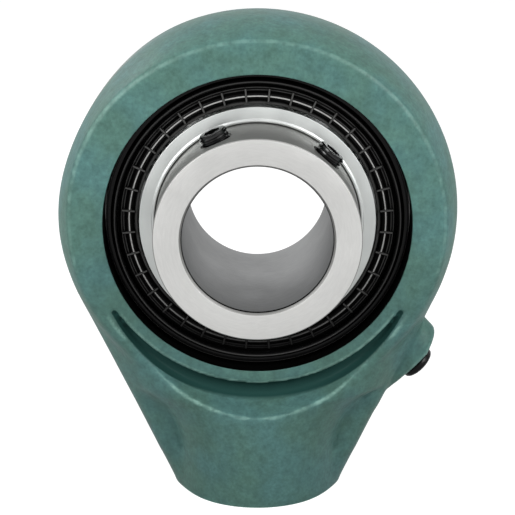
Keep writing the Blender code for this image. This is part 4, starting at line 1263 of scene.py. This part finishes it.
def make_floor():
    """Pale studio paper. What is seen of it is lifted to white, but for the object's shadow."""
    material = bpy.data.materials.new("studio_paper")
    material.use_nodes = True
    tree = material.node_tree
    tree.nodes.remove(tree.nodes["Principled BSDF"])
    paper = add_node(tree, "ShaderNodeBsdfDiffuse", {"Color": linear("#A8A8A8")})
    direct = add_node(tree, "ShaderNodeLightPath").outputs["Is Camera Ray"]
    level = add_node(tree, "ShaderNodeMapRange", {3: GLOSS_LIFT, 4: PAPER_LIFT}, {0: direct})
    lift = add_node(tree, "ShaderNodeEmission", links={"Strength": level.outputs["Result"]})
    lifted = add_node(tree, "ShaderNodeAddShader", links={0: paper.outputs[0], 1: lift.outputs[0]})
    choice = add_node(tree, "ShaderNodeMixShader",
                      links={0: seen_white(tree), 1: paper.outputs[0], 2: lifted.outputs[0]})
    tree.links.new(choice.outputs[0], tree.nodes["Material Output"].inputs["Surface"])
    bpy.ops.object.select_all(action="DESELECT")
    bpy.ops.mesh.primitive_plane_add(size=FLOOR_SIZE, location=(0.0, 0.0, 0.0))
    floor = named(bpy.context.object, "studio_floor")
    floor.data.materials.append(material)


def make_light(name, place, size, power):
    """A soft box that faces the middle of the object."""
    lamp = bpy.data.lights.new(name, "AREA")
    lamp.shape = "RECTANGLE"
    lamp.size, lamp.size_y = size
    lamp.energy = power
    holder = bpy.data.objects.new(name, lamp)
    bpy.context.scene.collection.objects.link(holder)
    holder.location = place
    aim = Vector((0.0, 0.0, AXIS_Z)) - Vector(place)
    holder.rotation_euler = aim.to_track_quat("-Z", "Y").to_euler()


def make_world():
    world = bpy.data.worlds.new("studio_air")
    world.use_nodes = True
    tree = world.node_tree
    level = add_node(tree, "ShaderNodeMapRange", {3: AIR_LIGHT, 4: 1.0}, {0: seen_white(tree)})
    tree.links.new(level.outputs["Result"], tree.nodes["Background"].inputs["Strength"])
    tree.nodes["Background"].inputs["Color"].default_value = (1.0, 1.0, 1.0, 1.0)
    bpy.context.scene.world = world


def make_camera():
    data = bpy.data.cameras.new("camera")
    data.lens = FOCAL_LENGTH
    data.sensor_width = SENSOR_WIDTH
    data.clip_start = 0.01
    camera = bpy.data.objects.new("camera", data)
    bpy.context.scene.collection.objects.link(camera)
    tilt = math.radians(CAMERA_TILT)
    aim = Vector((0.0, inner_low.y, AXIS_Z - CAMERA_AIM_BELOW_AXIS))
    camera.location = aim + CAMERA_DISTANCE * Vector((0.0, -math.cos(tilt), math.sin(tilt)))
    camera.rotation_euler = (math.radians(90.0) - tilt, 0.0, 0.0)
    bpy.context.scene.camera = camera


make_floor()
for light_name, light_settings in LIGHTS.items():
    make_light(light_name, *light_settings)
make_world()
make_camera()
bpy.context.scene.view_settings.view_transform = "Standard"
